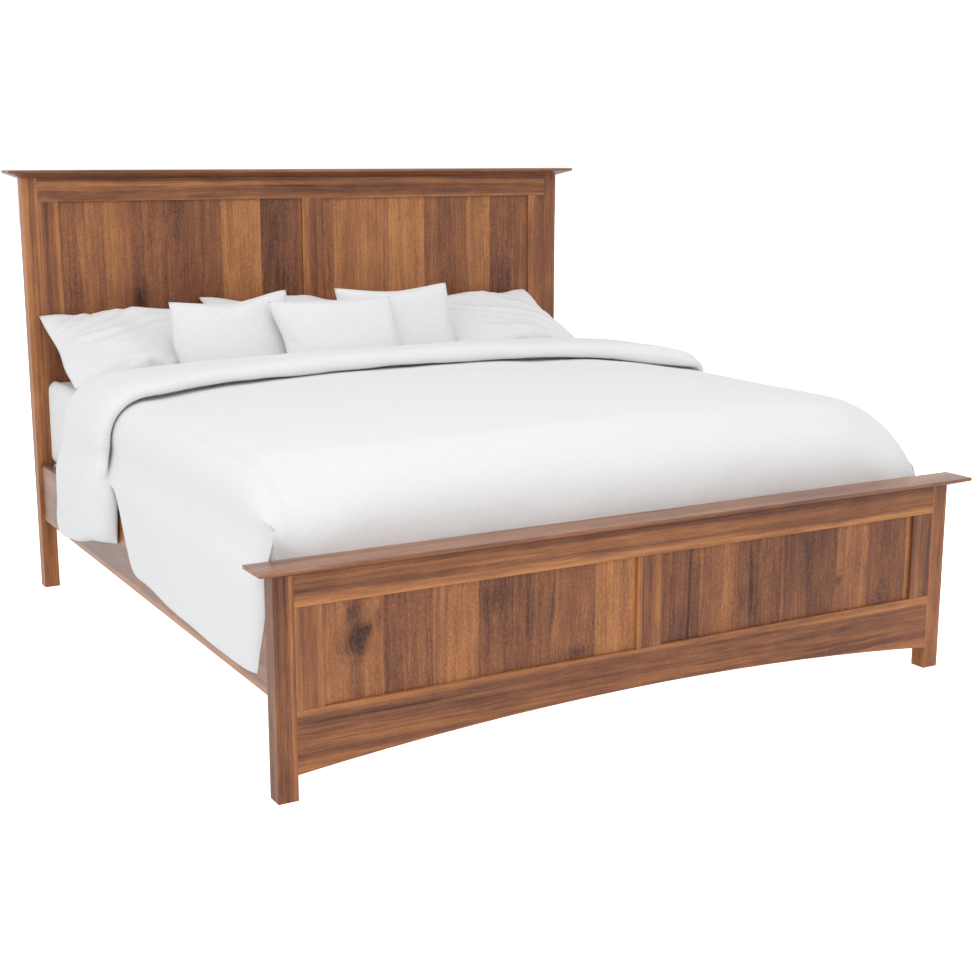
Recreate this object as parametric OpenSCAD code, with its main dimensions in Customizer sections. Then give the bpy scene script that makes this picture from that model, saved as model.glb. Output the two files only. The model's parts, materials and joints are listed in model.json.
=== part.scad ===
// Panel bed with frame-and-panel head and foot boards, slatted base, foundation, mattress and bedding.
// Millimetres, +Z up. The origin is on the floor under the middle of the bed, -Y is the foot end.

/* [Mattress and foundation] */
// Width of the mattress
mattress_w = 1930; // [1880:10:1980]
// Length of the mattress
mattress_l = 2030; // [1930:10:2130]
// Thickness of the mattress at its edge
mattress_h = 277; // [220:1:340]
// Radius of the mattress top edge
mattress_edge_r = 68; // [50:1:90]
// How much further the edge's rounding reaches at the foot end than at the sides
foot_softness = 1.8; // [1.5:0.1:2]
// Corner radius of the mattress in plan, at the foot end
mattress_corner_r = 265; // [240:5:280]
// Height of the foundation that lies between the rails
foundation_h = 140; // [100:1:200]
// Height of the foundation's timber base frame
foundation_base_h = 40; // [20:1:60]

/* [Bed frame] */
// Gap between a side rail and the mattress
side_gap = 12; // [5:1:25]
// Gap between the mattress and the boards, head and foot together
end_gap = 20; // [16:1:40]
// Share of the end gap that the mattress leaves at the head
head_gap = 4; // [2:1:8]
// Width of a corner post across the bed
post_w = 50; // [40:1:70]
// Depth of a corner post along the bed
post_d = 48; // [40:1:70]
// Height of a headboard post
head_post_h = 1364; // [1200:1:1500]
// Height of a footboard post
foot_post_h = 529; // [480:1:640]
// Thickness of a side rail
rail_t = 25; // [20:1:32]
// Height of a side rail
rail_h = 192; // [160:1:220]
// Height of the side rail's lower edge above the floor
rail_z = 234; // [215:1:260]
// Distance from a post's outer face in to the side rail's outer face
rail_inset = 10; // [4:1:14]
// Radius of the side rail's long edges
rail_edge_r = 4; // [1:0.5:8]

/* [Boards] */
// Thickness of the rails and stiles in the boards
member_t = 24; // [20:1:30]
// Height of the headboard's top rail
head_rail_h = 75; // [50:1:100]
// Height of the headboard's bottom rail
head_low_h = 150; // [100:1:200]
// Height of the headboard's bottom rail above the floor
head_low_z = 210; // [200:1:230]
// Height of the footboard's top rail
foot_rail_h = 74; // [50:1:100]
// Height of the top edge of the footboard's bottom rail
foot_low_top = 214; // [190:1:225]
// Height of the arch above the floor at its ends
arch_end_z = 62; // [40:1:90]
// Rise of the arch to its middle
arch_rise = 51; // [20:1:70]
// Width of the stiles beside the posts
side_stile_w = 70; // [50:1:90]
// Width of the middle stiles
center_stile_w = 76; // [50:1:100]
// Thickness of a panel
panel_t = 12; // [8:1:14]
// Depth of the panel's face behind the frame
panel_recess = 9; // [6:0.5:10]
// Depth of the groove that holds a panel's edge
groove_depth = 8; // [5:1:12]
// Clearance of a panel in its groove
panel_play = 0.2; // [0.1:0.1:0.5]
// Length of the tenons on rails and stiles
tenon_l = 18; // [10:1:24]
// Thickness of the tenons
tenon_t = 10; // [6:1:12]
// Shoulder above and below a tenon
tenon_shoulder = 12; // [8:1:16]

/* [Caps] */
// Height of a cap's square edge
cap_edge = 9; // [6:1:14]
// Height of the bevel under a cap
cap_bevel = 17; // [8:1:24]
// Overhang of a cap past a post at each end
cap_end = 48; // [20:1:60]
// Overhang of a cap in front of the posts
cap_front = 45; // [20:1:60]
// Overhang of a cap behind the posts
cap_back = 5; // [2:1:10]

/* [Slatted base] */
// Width of a ledger strip
ledger_w = 28; // [20:1:35]
// Height of a ledger strip
ledger_h = 25; // [18:1:30]
// Number of slats
slat_n = 8; // [6:1:8]
// Width of a slat
slat_w = 90; // [60:1:110]
// Thickness of a slat
slat_t = 19; // [15:1:24]
// Distance from the inner face of each board to the nearest slat
slat_margin = 60; // [40:1:100]
// Gap between a slat's end and the side rail
slat_gap = 2; // [1:1:4]
// Width of the middle beam
beam_w = 45; // [35:1:60]
// Height of the middle beam
beam_h = 70; // [60:1:80]
// Gap between the middle beam's ends and the brackets
beam_gap = 0.5; // [0.2:0.1:0.8]
// Side of a support leg's square section
leg_w = 45; // [40:1:60]
// Distance of each support leg from the middle of the bed
leg_pitch = 360; // [250:5:500]
// Height of the housing that a leg's top makes in the beam
leg_tenon_h = 20; // [10:1:30]

/* [Levelling feet] */
// Diameter of a levelling foot's pad
foot_pad_d = 32; // [24:1:38]
// Height of a levelling foot's pad
foot_pad_h = 7; // [5:1:12]
// Diameter of the foot's stem
stem_d = 10; // [6:1:12]
// Length of the foot's stem
stem_l = 45; // [35:1:60]
// Travel of a levelling foot up into the leg
foot_travel = 12; // [8:1:20]
// Running clearance round the stem
stem_play = 0.05; // [0.03:0.01:0.1]
// Outer diameter of the insert in the leg
insert_d = 18; // [14:1:22]
// Length of the insert
insert_l = 16; // [12:1:20]

/* [Rail fasteners] */
// Width of a fastener plate
plate_w = 18; // [14:1:20]
// Length of a fastener plate
plate_l = 140; // [110:1:150]
// Thickness of a fastener plate
plate_t = 3; // [2:0.5:4]
// Thickness of a hook
hook_t = 3; // [2:0.5:4]
// Height of a hook's neck
hook_neck_h = 16; // [10:1:20]
// Drop of a hook's nose below its neck
hook_drop = 12; // [8:1:16]
// Distance of each hook from the plate's middle
hook_pitch = 30; // [25:1:35]
// Clearance round a hook
hook_play = 0.6; // [0.3:0.1:1]
// Diameter of a wood screw's shank
screw_d = 4; // [3:0.5:5]
// Diameter of a wood screw's head
screw_head_d = 8; // [6:0.5:9]
// Height of a wood screw's countersunk head
screw_head_h = 2.4; // [2:0.1:3]
// Length of a plate screw
plate_screw_l = 16; // [12:1:20]
// Length of a ledger screw
ledger_screw_l = 40; // [36:1:44]
// Length of a slat screw
slat_screw_l = 36; // [30:1:40]
// Clearance round a screw
screw_play = 0.1; // [0.05:0.05:0.2]
// Number of screws in a ledger
ledger_screw_n = 6; // [4:1:8]

/* [Duvet] */
// Thickness of the duvet on its hanging sides
duvet_t = 26; // [18:1:30]
// Extra thickness of the duvet in the middle of the bed
duvet_puff = 54; // [10:1:60]
// Height of the turned-back band above the duvet
band_h = 53; // [30:1:70]
// How much nearer the headboard the fold is at the sides
fold_bow = 150; // [0:5:160]
// Width of the turned-back band in the middle of the bed
band_w = 210; // [150:5:300]
// How much nearer the foot the band's free edge is at the sides
band_bow = 290; // [0:5:350]
// Height of the duvet's hem above the floor
hem_z = 288; // [262:1:320]
// Clearance between the bedding and what it covers
soft_gap = 0.3; // [0.3:0.1:1]

/* [Pillows] */
// Width of a sleeping pillow
pillow_w = 575; // [540:5:600]
// Depth of a sleeping pillow
pillow_l = 440; // [400:5:470]
// Thickness of a sleeping pillow
pillow_t = 140; // [110:5:160]
// Tilt of a sleeping pillow against the headboard, in degrees
pillow_tilt = 24; // [18:1:30]
// Width of a small cushion
cushion_w = 410; // [380:5:430]
// Height of a small cushion
cushion_l = 305; // [280:5:330]
// Thickness of a small cushion
cushion_t = 86; // [70:2:100]
// Lean of a small cushion, in degrees from lying flat
cushion_tilt = 64; // [58:1:70]

/* [Hidden] */
SLATS = [for (i = [1:8]) str("slat_", i)];
CORNERS = ["foot_left", "foot_right", "head_left", "head_right"];

// Plan: rails, posts and boards follow from the mattress and its gaps
inner_w = mattress_w + 2 * side_gap;
inner_l = mattress_l + end_gap;
rail_out = inner_w / 2 + rail_t;
post_out = rail_out + rail_inset;
post_in = post_out - post_w;
bed_l = cap_front + post_d + inner_l + post_d + cap_back;
foot_y = -bed_l / 2 + cap_front;
foot_back = foot_y + post_d;
head_y = foot_back + inner_l;
mattress_head = head_y - head_gap;
mattress_foot = mattress_head - mattress_l;

// Heights
rail_top = rail_z + rail_h;
slat_top = rail_top - foundation_h + 1;
slat_z = slat_top - slat_t;
ledger_z = slat_z - ledger_h;
beam_z = slat_z - beam_h;
foundation_z = slat_top + soft_gap;
mattress_z = foundation_z + foundation_h + soft_gap;
mattress_top = mattress_z + mattress_h;
head_rail_z = head_post_h - head_rail_h;
head_low_top = head_low_z + head_low_h;
foot_rail_z = foot_post_h - foot_rail_h;
half_bay = post_in - side_stile_w;
arch_r = (pow(post_in, 2) + pow(arch_rise, 2)) / (2 * arch_rise);
leg_lift = 3;
leg_foot_z = foot_pad_h + foot_travel + leg_lift;
leg_top = beam_z + leg_tenon_h;
ledger_end = 5;
pad_edge = 1.5;
stem_room = 1;
screw_head_gap = 0.2;
mortise_l = tenon_l + 1;
plate_z = rail_z + rail_h / 2;
plate_x = rail_out - rail_t / 2;
bracket_t = 3;
bracket_l = 40;
bracket_h = 60;
hanger_w = beam_w + 44;
base_in = 6;
pillow_edge = 6;
pillow_fullness = 0.61;
pillow_pull = 0.05;
pillow_hollow = 0.12;

// Places of the pillows: the sleeping pillows touch the headboard, the cushions stand in front of them
pillow_turn = 6;
pillow_side = 20;
pillow_left_x = (pillow_w - mattress_w) / 2 - pillow_side;
pillow_right_x = (mattress_w - pillow_w) / 2 - 3 * pillow_side;
back_bottom = pillow_l * cos(pillow_tilt) + pillow_w / 4 * sin(pillow_turn) + 0.32 * pillow_t
    + 0.36 * cushion_t;
front_bottom = back_bottom + 1.14 * cushion_t;
cushion_left_x = -462;
cushion_center_x = cushion_left_x + 0.83 * cushion_w;
cushion_right_x = cushion_center_x + 0.62 * cushion_w;

// Duvet: its underside over the mattress and the rails, its lines, and the knots of its loops.
// A band knot holds its share of the band's width, an offset, its height share, and how much of the
// lower layer it gives up; the first two are still on the lower layer
shoulder_r = mattress_edge_r - 3;
cover_x = mattress_w / 2 + 3;
cover_z = mattress_top + 2 * soft_gap;
flat_s = cover_x - shoulder_r;
side_s = flat_s + shoulder_r * PI / 2;
side_z = cover_z - shoulder_r;
drape_x = rail_out + 1.5;
fold_y = head_y - front_bottom - 0.44 * cushion_t;
duvet_pocket = 1;
duvet_squeeze = 4;
right_slack = 60;
side_clear = 40;
tuck_depth = 235;
FOOT_N = 6;
MAIN_N = 6;
TOP_SHARE = 0.64;
BAND = [[0, 14, 0, 0], [0, 12, 0.25, 0], [0, 0, 0.3, 0], [0, -4, 0.7, 0], [0.08, 8, 0.97, 0],
        [0.3, 0, 1.04, 0], [0.6, 0, 1.04, 0], [0.85, 0, 0.95, 0], [0.97, 0, 0.7, 0.1], [1, 0, 0.4, 0.6]];
notch_y = -150;
LOOPS = [0, 0.12, 0.24, 0.36, 0.48, 0.56, 0.58, 0.60, 0.62, 0.64, 0.73, 0.82, 0.91, 1];
walnut = [0.45, 0.27, 0.18];
walnut_light = [0.60, 0.38, 0.24];
pine = [0.80, 0.66, 0.47];
steel = [0.62, 0.63, 0.65];
cotton = [0.93, 0.93, 0.93];
$fn = 32;

// A box between two corners
module block(a, b) translate(a) cube(b - a);

// Mirrors its child to the left side of the bed where side is -1
module sided(side) mirror([side < 0 ? 1 : 0, 0, 0]) children();

// A countersunk wood screw along +Z with its head's face at the origin
module screw(l, grow = 0) {
    translate([0, 0, -l]) cylinder(d = screw_d + 2 * grow, h = l - screw_head_h + 0.01);
    translate([0, 0, -screw_head_h])
        cylinder(d1 = screw_d + 2 * grow, d2 = screw_head_d + 2 * grow, h = screw_head_h);
}

// Moulded strip on top of a board, with a bevel in front and at both ends
module cap(y_front, z) {
    back = post_d + cap_back;
    front = -cap_front;
    end = post_out + cap_end;
    color(walnut) translate([0, y_front, z]) difference() {
        block([-end, front, 0], [end, back, cap_bevel + cap_edge]);
        translate([-end - 1, 0, 0]) rotate([90, 0, 90])
            linear_extrude(2 * end + 2)
                polygon([[front - 1, -1], [0, -1], [0, 0], [front, cap_bevel], [front - 1, cap_bevel]]);
        for (side = [-1, 1]) sided(side) translate([0, back + 1, 0]) rotate([90, 0, 0])
            linear_extrude(back - front + 2)
                polygon([[end + 1, -1], [post_out, -1], [post_out, 0], [end, cap_bevel],
                         [end + 1, cap_bevel]]);
    }
}

// Rail of a board between its posts, with a tenon at each end
module board_rail(y, z0, z1) {
    mid = y + member_t / 2;
    block([-post_in, y, z0], [post_in, y + member_t, z1]);
    block([-post_in - tenon_l, mid - tenon_t / 2, z0 + tenon_shoulder],
          [post_in + tenon_l, mid + tenon_t / 2, z1 - tenon_shoulder]);
}

// Groove along X for a panel's edge, cut up or down from a member's edge
module groove_x(x0, x1, y, z, up) {
    y0 = y + panel_recess - panel_play;
    y1 = y0 + panel_t + 2 * panel_play;
    block([x0, y0, z - (up ? 0 : groove_depth)], [x1, y1, z + (up ? groove_depth : 0)]);
}

// Corner post with mortises for the board's rails and a recess for the slot plate
module post(x_in, x_out, y, h, low0, low1, high0, high1, plate_y, out) {
    mid = y + member_t / 2;
    x_sign = x_out > x_in ? 1 : -1;
    color(walnut) difference() {
        block([min(x_in, x_out), y, 0], [max(x_in, x_out), y + post_d, h]);
        for (m = [[low0, low1], [high0, high1]]) {
            x_a = x_in - x_sign;
            x_b = x_in + x_sign * mortise_l;
            block([min(x_a, x_b), mid - tenon_t / 2, m[0] + tenon_shoulder],
                  [max(x_a, x_b), mid + tenon_t / 2, m[1] - tenon_shoulder]);
        }
        translate([x_sign * plate_x, plate_y, plate_z]) rotate([0, 0, out > 0 ? 180 : 0])
            slot_recess();
    }
}

// Recess for a slot plate in a post's face, with pockets for the hooks and holes for the screws
module slot_recess() {
    block([-plate_w / 2, -plate_t, -plate_l / 2], [plate_w / 2, 1, plate_l / 2]);
    for (k = [-1, 1]) translate([0, 0, k * hook_pitch]) hook_pocket(hook_depth() + 2);
    plate_screw_places() rotate([-90, 0, 0]) screw(plate_screw_l, screw_play);
}

// Depth that a hook reaches behind the rail's end
function hook_depth() = plate_t + hook_play + hook_t;

// Pocket that a hook drops into
module hook_pocket(depth) {
    w = hook_t / 2 + hook_play;
    block([-w, -depth, -hook_neck_h / 2 - hook_drop - hook_play],
          [w, 1, hook_neck_h / 2 + hook_play]);
}

// The two screw places of a fastener plate
module plate_screw_places()
    for (k = [-1, 1]) translate([0, 0, k * (plate_l / 2 - screw_head_d)]) children();

// Plate with two slots, let into a post's face, its front face at y = 0
module slot_plate() color(steel) difference() {
    block([-plate_w / 2, -plate_t, -plate_l / 2], [plate_w / 2, 0, plate_l / 2]);
    for (k = [-1, 1]) translate([0, 0, k * hook_pitch]) hook_pocket(plate_t + 1);
    plate_screw_places() rotate([-90, 0, 0]) translate([0, 0, -screw_head_gap]) {
        screw(plate_screw_l, screw_play);
        translate([0, 0, -0.01]) cylinder(d = screw_head_d + 2 * screw_play, h = plate_t);
    }
}

// Plate with two hooks, let into a rail's end, its front face at y = 0 and its hooks along -Y
module hook_plate() color(steel) {
    difference() {
        block([-plate_w / 2, 0, -plate_l / 2], [plate_w / 2, plate_t, plate_l / 2]);
        plate_screw_places() rotate([90, 0, 0]) screw(plate_screw_l, screw_play);
    }
    for (k = [-1, 1]) translate([-hook_t / 2, 0, k * hook_pitch]) rotate([90, 0, 90])
        linear_extrude(hook_t)
            polygon([[plate_t / 2, -hook_neck_h / 2], [-plate_t - hook_play, -hook_neck_h / 2],
                     [-plate_t - hook_play, -hook_neck_h / 2 - hook_drop],
                     [-hook_depth(), -hook_neck_h / 2 - hook_drop],
                     [-hook_depth(), hook_neck_h / 2], [plate_t / 2, hook_neck_h / 2]]);
}

// Places a fastener at a corner of the bed, turned so that -Y points into the post
module at_corner(c) {
    x = plate_x * (c == "foot_left" || c == "head_left" ? -1 : 1);
    head = c == "head_left" || c == "head_right";
    translate([x, head ? head_y : foot_back, plate_z]) rotate([0, 0, head ? 180 : 0]) children();
}

// Headboard posts, rails and stiles
module headboard_post(side)
    post(side * post_in, side * post_out, head_y, head_post_h, head_low_z, head_low_top,
         head_rail_z, head_post_h, head_y, 1);

module headboard_top_rail() color(walnut) difference() {
    board_rail(head_y, head_rail_z, head_post_h);
    groove_x(-post_in - 1, post_in + 1, head_y, head_rail_z, true);
}

module headboard_bottom_rail() color(walnut) difference() {
    board_rail(head_y, head_low_z, head_low_top);
    groove_x(-post_in - 1, post_in + 1, head_y, head_low_top, false);
    head_bracket_screws(screw_play);
}

// Stile between two rails, with stub tongues that fill the rails' grooves
module stile(x0, x1, y, z0, z1, grooves) {
    g0 = y + panel_recess - panel_play;
    g1 = g0 + panel_t + 2 * panel_play;
    color(walnut) difference() {
        union() {
            block([x0, y, z0], [x1, y + member_t, z1]);
            block([x0, g0, z0 - groove_depth], [x1, g1, z1 + groove_depth]);
        }
        if (grooves[0])
            block([x0 - 1, g0, z0 - groove_depth - 1], [x0 + groove_depth, g1, z1 + groove_depth + 1]);
        if (grooves[1])
            block([x1 - groove_depth, g0, z0 - groove_depth - 1], [x1 + 1, g1, z1 + groove_depth + 1]);
    }
}

module side_stile(side, y, z0, z1)
    stile(side > 0 ? half_bay : -post_in, side > 0 ? post_in : -half_bay, y, z0, z1, [side > 0, side < 0]);

module center_stile(y, z0, z1)
    stile(-center_stile_w / 2, center_stile_w / 2, y, z0, z1, [true, true]);

// Panel that floats in the grooves of its frame and stands on the bottom groove
module panel(side, y, z0, z1) {
    x_a = center_stile_w / 2 - groove_depth + panel_play;
    x_b = half_bay + groove_depth - panel_play;
    y_a = y + panel_recess;
    color(walnut_light)
        block([side > 0 ? x_a : -x_b, y_a, z0 - groove_depth],
              [side > 0 ? x_b : -x_a, y_a + panel_t, z1 + groove_depth - panel_play]);
}

// Footboard posts, rails and stiles
module footboard_post(side)
    post(side * post_in, side * post_out, foot_y, foot_post_h, arch_end_z, foot_low_top,
         foot_rail_z, foot_post_h, foot_back, -1);

module footboard_top_rail() color(walnut) difference() {
    board_rail(foot_y, foot_rail_z, foot_post_h);
    groove_x(-post_in - 1, post_in + 1, foot_y, foot_rail_z, true);
}

module footboard_bottom_rail() color(walnut) difference() {
    board_rail(foot_y, arch_end_z, foot_low_top);
    translate([0, foot_y - 1, arch_end_z + arch_rise - arch_r]) rotate([-90, 0, 0])
        cylinder(r = arch_r, h = member_t + 2, $fn = 720);
    groove_x(-post_in - 1, post_in + 1, foot_y, foot_low_top, false);
    foot_bracket_screws(screw_play);
}

// Side rail with rounded long edges, recesses for its hook plates and holes for the ledger's screws
module side_rail(side) color(walnut) sided(side) difference() {
    translate([0, head_y, 0]) rotate([90, 0, 0]) linear_extrude(inner_l) rail_outline();
    for (head = [0, 1]) translate([plate_x, head ? head_y : foot_back, plate_z])
        rotate([0, 0, head ? 180 : 0]) {
            block([-plate_w / 2, -1, -plate_l / 2], [plate_w / 2, plate_t, plate_l / 2]);
            plate_screw_places() rotate([90, 0, 0]) screw(plate_screw_l, screw_play);
        }
    ledger_screw_places() screw(ledger_screw_l, screw_play);
}

// Cross-section of a side rail in X and Z
module rail_outline() {
    r = rail_edge_r;
    x0 = rail_out - rail_t;
    for (z = [rail_z + r, rail_top - r]) translate([rail_out - r, z]) circle(r);
    polygon([[x0, rail_z], [rail_out - r, rail_z], [rail_out - r, rail_top], [x0, rail_top]]);
    translate([x0, rail_z + r]) square([rail_t, rail_h - 2 * r]);
}

// Ledger strip on the inside of a side rail, and its screws
module ledger(side) color(pine) sided(side) difference() {
    block([inner_w / 2 - ledger_w, foot_back + ledger_end, ledger_z],
          [inner_w / 2, head_y - ledger_end, slat_z]);
    ledger_screw_places() screw(ledger_screw_l, screw_play);
    slat_screw_places(false) screw(slat_screw_l, screw_play);
}

module ledger_screw_places()
    for (i = [0:ledger_screw_n - 1])
        translate([inner_w / 2 - ledger_w, ledger_screw_y(i), ledger_z + ledger_h / 2])
            rotate([0, -90, 0]) children();

function ledger_screw_y(i) = foot_back + inner_l * (i + 0.5) / ledger_screw_n;

// Slats, each with a screw in both ledgers and one in the middle beam
function slat_y(i) = foot_back + slat_margin + slat_w / 2
    + i * (inner_l - 2 * slat_margin - slat_w) / (slat_n - 1);

module slat(i) color(pine) difference() {
    block([-inner_w / 2 + slat_gap, slat_y(i) - slat_w / 2, slat_z],
          [inner_w / 2 - slat_gap, slat_y(i) + slat_w / 2, slat_top]);
    for (x = [-1, 0, 1]) translate([x * (inner_w - ledger_w) / 2, slat_y(i), slat_top])
        screw(slat_screw_l, screw_play);
}

module slat_screw_places(middle)
    for (i = [0:slat_n - 1]) translate([middle ? 0 : (inner_w - ledger_w) / 2, slat_y(i), slat_top])
        children();

// Middle beam on its brackets and legs
module center_beam() color(pine) difference() {
    block([-beam_w / 2, foot_y + member_t + bracket_t + beam_gap, beam_z],
          [beam_w / 2, head_y - bracket_t - beam_gap, slat_z]);
    for (end = [-1, 1]) leg_housing(end);
    slat_screw_places(true) screw(slat_screw_l, screw_play);
}

// Housing in the beam for a leg's top
module leg_housing(end)
    block([-beam_w / 2 - 1, end * leg_pitch - leg_w / 2, beam_z - 1],
          [beam_w / 2 + 1, end * leg_pitch + leg_w / 2, leg_top]);

// Steel angle under the beam's foot end, screwed to the footboard's bottom rail
module beam_bracket_foot() color(steel) difference() {
    y = foot_y + member_t;
    union() {
        block([-beam_w / 2, y, beam_z - bracket_h], [beam_w / 2, y + bracket_t, beam_z]);
        block([-beam_w / 2, y, beam_z - bracket_t], [beam_w / 2, y + bracket_l, beam_z]);
    }
    foot_bracket_screws(screw_play);
}

// Steel hanger round the beam's head end, screwed to the headboard's bottom rail
module beam_bracket_head() color(steel) difference() {
    union() {
        block([-hanger_w / 2, head_y - bracket_t, beam_z - bracket_t], [hanger_w / 2, head_y, slat_z]);
        block([-beam_w / 2, head_y - bracket_l, beam_z - bracket_t], [beam_w / 2, head_y, beam_z]);
    }
    head_bracket_screws(screw_play);
}

// The screws of the two beam brackets, grown by the clearance where they are cut
module foot_bracket_screws(grow = 0)
    for (k = [-1, 1]) translate([k * beam_w / 4, foot_y + member_t + bracket_t, beam_z - bracket_h / 2])
        rotate([-90, 0, 0]) screw(plate_screw_l, grow);

module head_bracket_screws(grow = 0)
    for (k = [-1, 1]) translate([k * (hanger_w + beam_w) / 4, head_y - bracket_t, beam_z + beam_h / 2])
        rotate([90, 0, 0]) screw(plate_screw_l, grow);

// Square leg with a housing joint at its top and an insert for the levelling foot
module support_leg(end) color(walnut) difference() {
    block([-leg_w / 2, end * leg_pitch - leg_w / 2, leg_foot_z],
          [leg_w / 2, end * leg_pitch + leg_w / 2, leg_top]);
    for (side = [-1, 1]) sided(side)
        block([beam_w / 2, end * leg_pitch - leg_w, beam_z], [leg_w, end * leg_pitch + leg_w, leg_top + 1]);
    translate([0, end * leg_pitch, leg_foot_z - 1]) {
        cylinder(d = insert_d, h = insert_l + 1);
        cylinder(d = stem_d + 2 * stem_room, h = stem_l + foot_travel + 1);
    }
}

module leg_insert(end) color(steel) translate([0, end * leg_pitch, leg_foot_z]) difference() {
    cylinder(d = insert_d, h = insert_l);
    translate([0, 0, -1]) cylinder(d = stem_d + 2 * stem_play, h = insert_l + 2);
}

// Levelling foot: a pad on the floor and a stem that screws into the leg
module leveling_foot(end) color(steel) translate([0, end * leg_pitch, 0]) {
    cylinder(d1 = foot_pad_d - 2 * pad_edge, d2 = foot_pad_d, h = pad_edge);
    translate([0, 0, pad_edge]) cylinder(d = foot_pad_d, h = foot_pad_h - pad_edge);
    cylinder(d = stem_d, h = foot_pad_h + stem_l);
}

// Screws of the fastener plates and beam brackets, and screws of the ledgers and slats
module plate_screws() color(steel) {
    for (c = CORNERS) at_corner(c) plate_screw_places() {
        rotate([90, 0, 0]) screw(plate_screw_l);
        rotate([-90, 0, 0]) translate([0, 0, -screw_head_gap]) screw(plate_screw_l - screw_head_gap);
    }
    foot_bracket_screws();
    head_bracket_screws();
}

module base_screws() color(steel) {
    for (side = [-1, 1]) sided(side) {
        ledger_screw_places() screw(ledger_screw_l);
        slat_screw_places(false) screw(slat_screw_l);
    }
    slat_screw_places(true) screw(slat_screw_l);
}

// Points of a rectangle with rounded corners, drawn in by d, at height z
function plan_ring(d, z) = [for (q = [0:3], k = [0:5]) let (
    head = q < 2,
    x_sign = q == 0 || q == 3 ? 1 : -1,
    y_sign = head ? 1 : -1,
    y_in = head ? d : d * foot_softness,
    corner_r = head ? mattress_edge_r + 20 : mattress_corner_r,
    r = max(corner_r - d, 4),
    turn = 90 * q + 18 * k)
    [x_sign * (mattress_w / 2 - d - r) + r * cos(turn),
     y_sign * (mattress_l / 2 - y_in - r) + r * sin(turn), z]];

// Triangles between closed loops of n points, m loops in all
function side_faces(m, n) = [for (i = [0:m - 2], j = [0:n - 1]) each
    let (a = i * n + j, b = i * n + (j + 1) % n) [[a, b, b + n], [a, b + n, a + n]]];

// Triangles that close a loop whose second half runs back beside its first half
function strip_faces(first, n, up) = [for (j = [0:n / 2 - 2]) each
    let (a = first + j, b = first + j + 1, c = first + n - 2 - j, d = first + n - 1 - j)
    up ? [[a, b, c], [a, c, d]] : [[a, c, b], [a, d, c]]];

// Closed solid through a list of loops, each folded back on itself
module loop_solid(loops) {
    m = len(loops);
    n = len(loops[0]);
    polyhedron([for (l = loops) each l],
               concat(side_faces(m, n), strip_faces(0, n, false), strip_faces((m - 1) * n, n, true)));
}

// Mattress: rings from its flat top down over its rounded edge to its underside
module mattress() color(cotton) translate([0, (mattress_head + mattress_foot) / 2, mattress_z]) {
    h = mattress_h;
    r = mattress_edge_r;
    rings = concat(
        [for (a = [90:-22.5:22.5]) plan_ring(r - r * cos(a), h - r + r * sin(a))],
        [plan_ring(0, h - r), plan_ring(0, 12), plan_ring(10, 0)]);
    m = len(rings);
    n = len(rings[0]);
    points = concat([for (l = rings) each l], [[0, 0, h], [0, 0, 0]]);
    ends = [for (j = [0:n - 1]) each let (k = (j + 1) % n)
        [[m * n, k, j], [m * n + 1, (m - 1) * n + j, (m - 1) * n + k]]];
    polyhedron(points, concat(side_faces(m, n), ends));
}

// Foundation: a timber base frame under a padded upper part
module foundation() color(cotton) {
    block([-mattress_w / 2 + base_in, mattress_foot + base_in, foundation_z],
          [mattress_w / 2 - base_in, mattress_head - base_in, foundation_z + foundation_base_h]);
    block([-mattress_w / 2, mattress_foot, foundation_z + foundation_base_h - 1],
          [mattress_w / 2, mattress_head, foundation_z + foundation_h]);
}

// Steps from 0 to 1 that crowd towards both ends, and smooth steps between 0 and 1
function crowd(k, n) = (1 - cos(180 * k / n)) / 2;
function clamp01(v) = min(1, max(0, v));
function smooth01(v) = let (c = clamp01(v)) c * c * (3 - 2 * c);

// Half thickness of a pillow at the shares u and v of its half width and half depth
function pillow_half(t, u, v) = pillow_edge / 2
    + (t - pillow_edge) / 2 * pow((1 - pow(u, 4)) * (1 - pow(v, 4)), pillow_fullness);

// Filled pillow: a crowned form whose sides pull in between its corners
module pillow(w, l, t, columns, rows, front_pull) {
    loops = [for (i = [0:columns]) let (
        u = 2 * crowd(i, columns) - 1,
        side = [for (j = [0:rows]) let (v = 2 * crowd(j, rows) - 1, pull = v < 0 ? front_pull : pillow_pull)
            [w / 2 * u * (1 - pillow_pull * (1 - v * v) * abs(u)),
             l / 2 * v * (1 - pull * (1 - u * u) * abs(v)), pillow_half(t, u, v)]])
        concat(side, [for (j = [rows:-1:0]) [side[j][0], side[j][1], -side[j][2]]])];
    color(cotton) loop_solid(loops);
}

// Height of a tilted pillow's middle over the mattress it rests on
function rest_height(l, t, tilt, front_pull) = soft_gap + 0.1 + max([for (v = [0:0.05:1])
    max(l / 2 * v * (1 - front_pull * v) * sin(tilt) + pillow_half(t, 0, v) * cos(tilt),
        l / 2 * v * sin(tilt) + pillow_edge / 2 * cos(tilt))]);

// Sleeping pillow at x, turned about the upright, its upper corner at the headboard
module sleeping_pillow(x, turn) {
    from_head = pillow_l / 2 * cos(pillow_tilt) + pillow_w / 2 * sin(abs(turn)) + pillow_edge / 2;
    up = rest_height(pillow_l, pillow_t, pillow_tilt, pillow_hollow);
    translate([x, head_y - from_head, mattress_top + up]) rotate([0, 0, turn]) rotate([pillow_tilt, 0, 0])
        pillow(pillow_w, pillow_l, pillow_t, 14, 10, pillow_hollow);
}

// Small cushion at x, its lower edge at a distance from the headboard
module cushion(x, bottom, tilt)
    translate([x, head_y - bottom + cushion_l / 2 * cos(tilt),
               mattress_top + rest_height(cushion_l, cushion_t, tilt, pillow_pull)])
        rotate([tilt, 0, 0]) pillow(cushion_w, cushion_l, cushion_t, 10, 8, pillow_pull);

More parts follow.
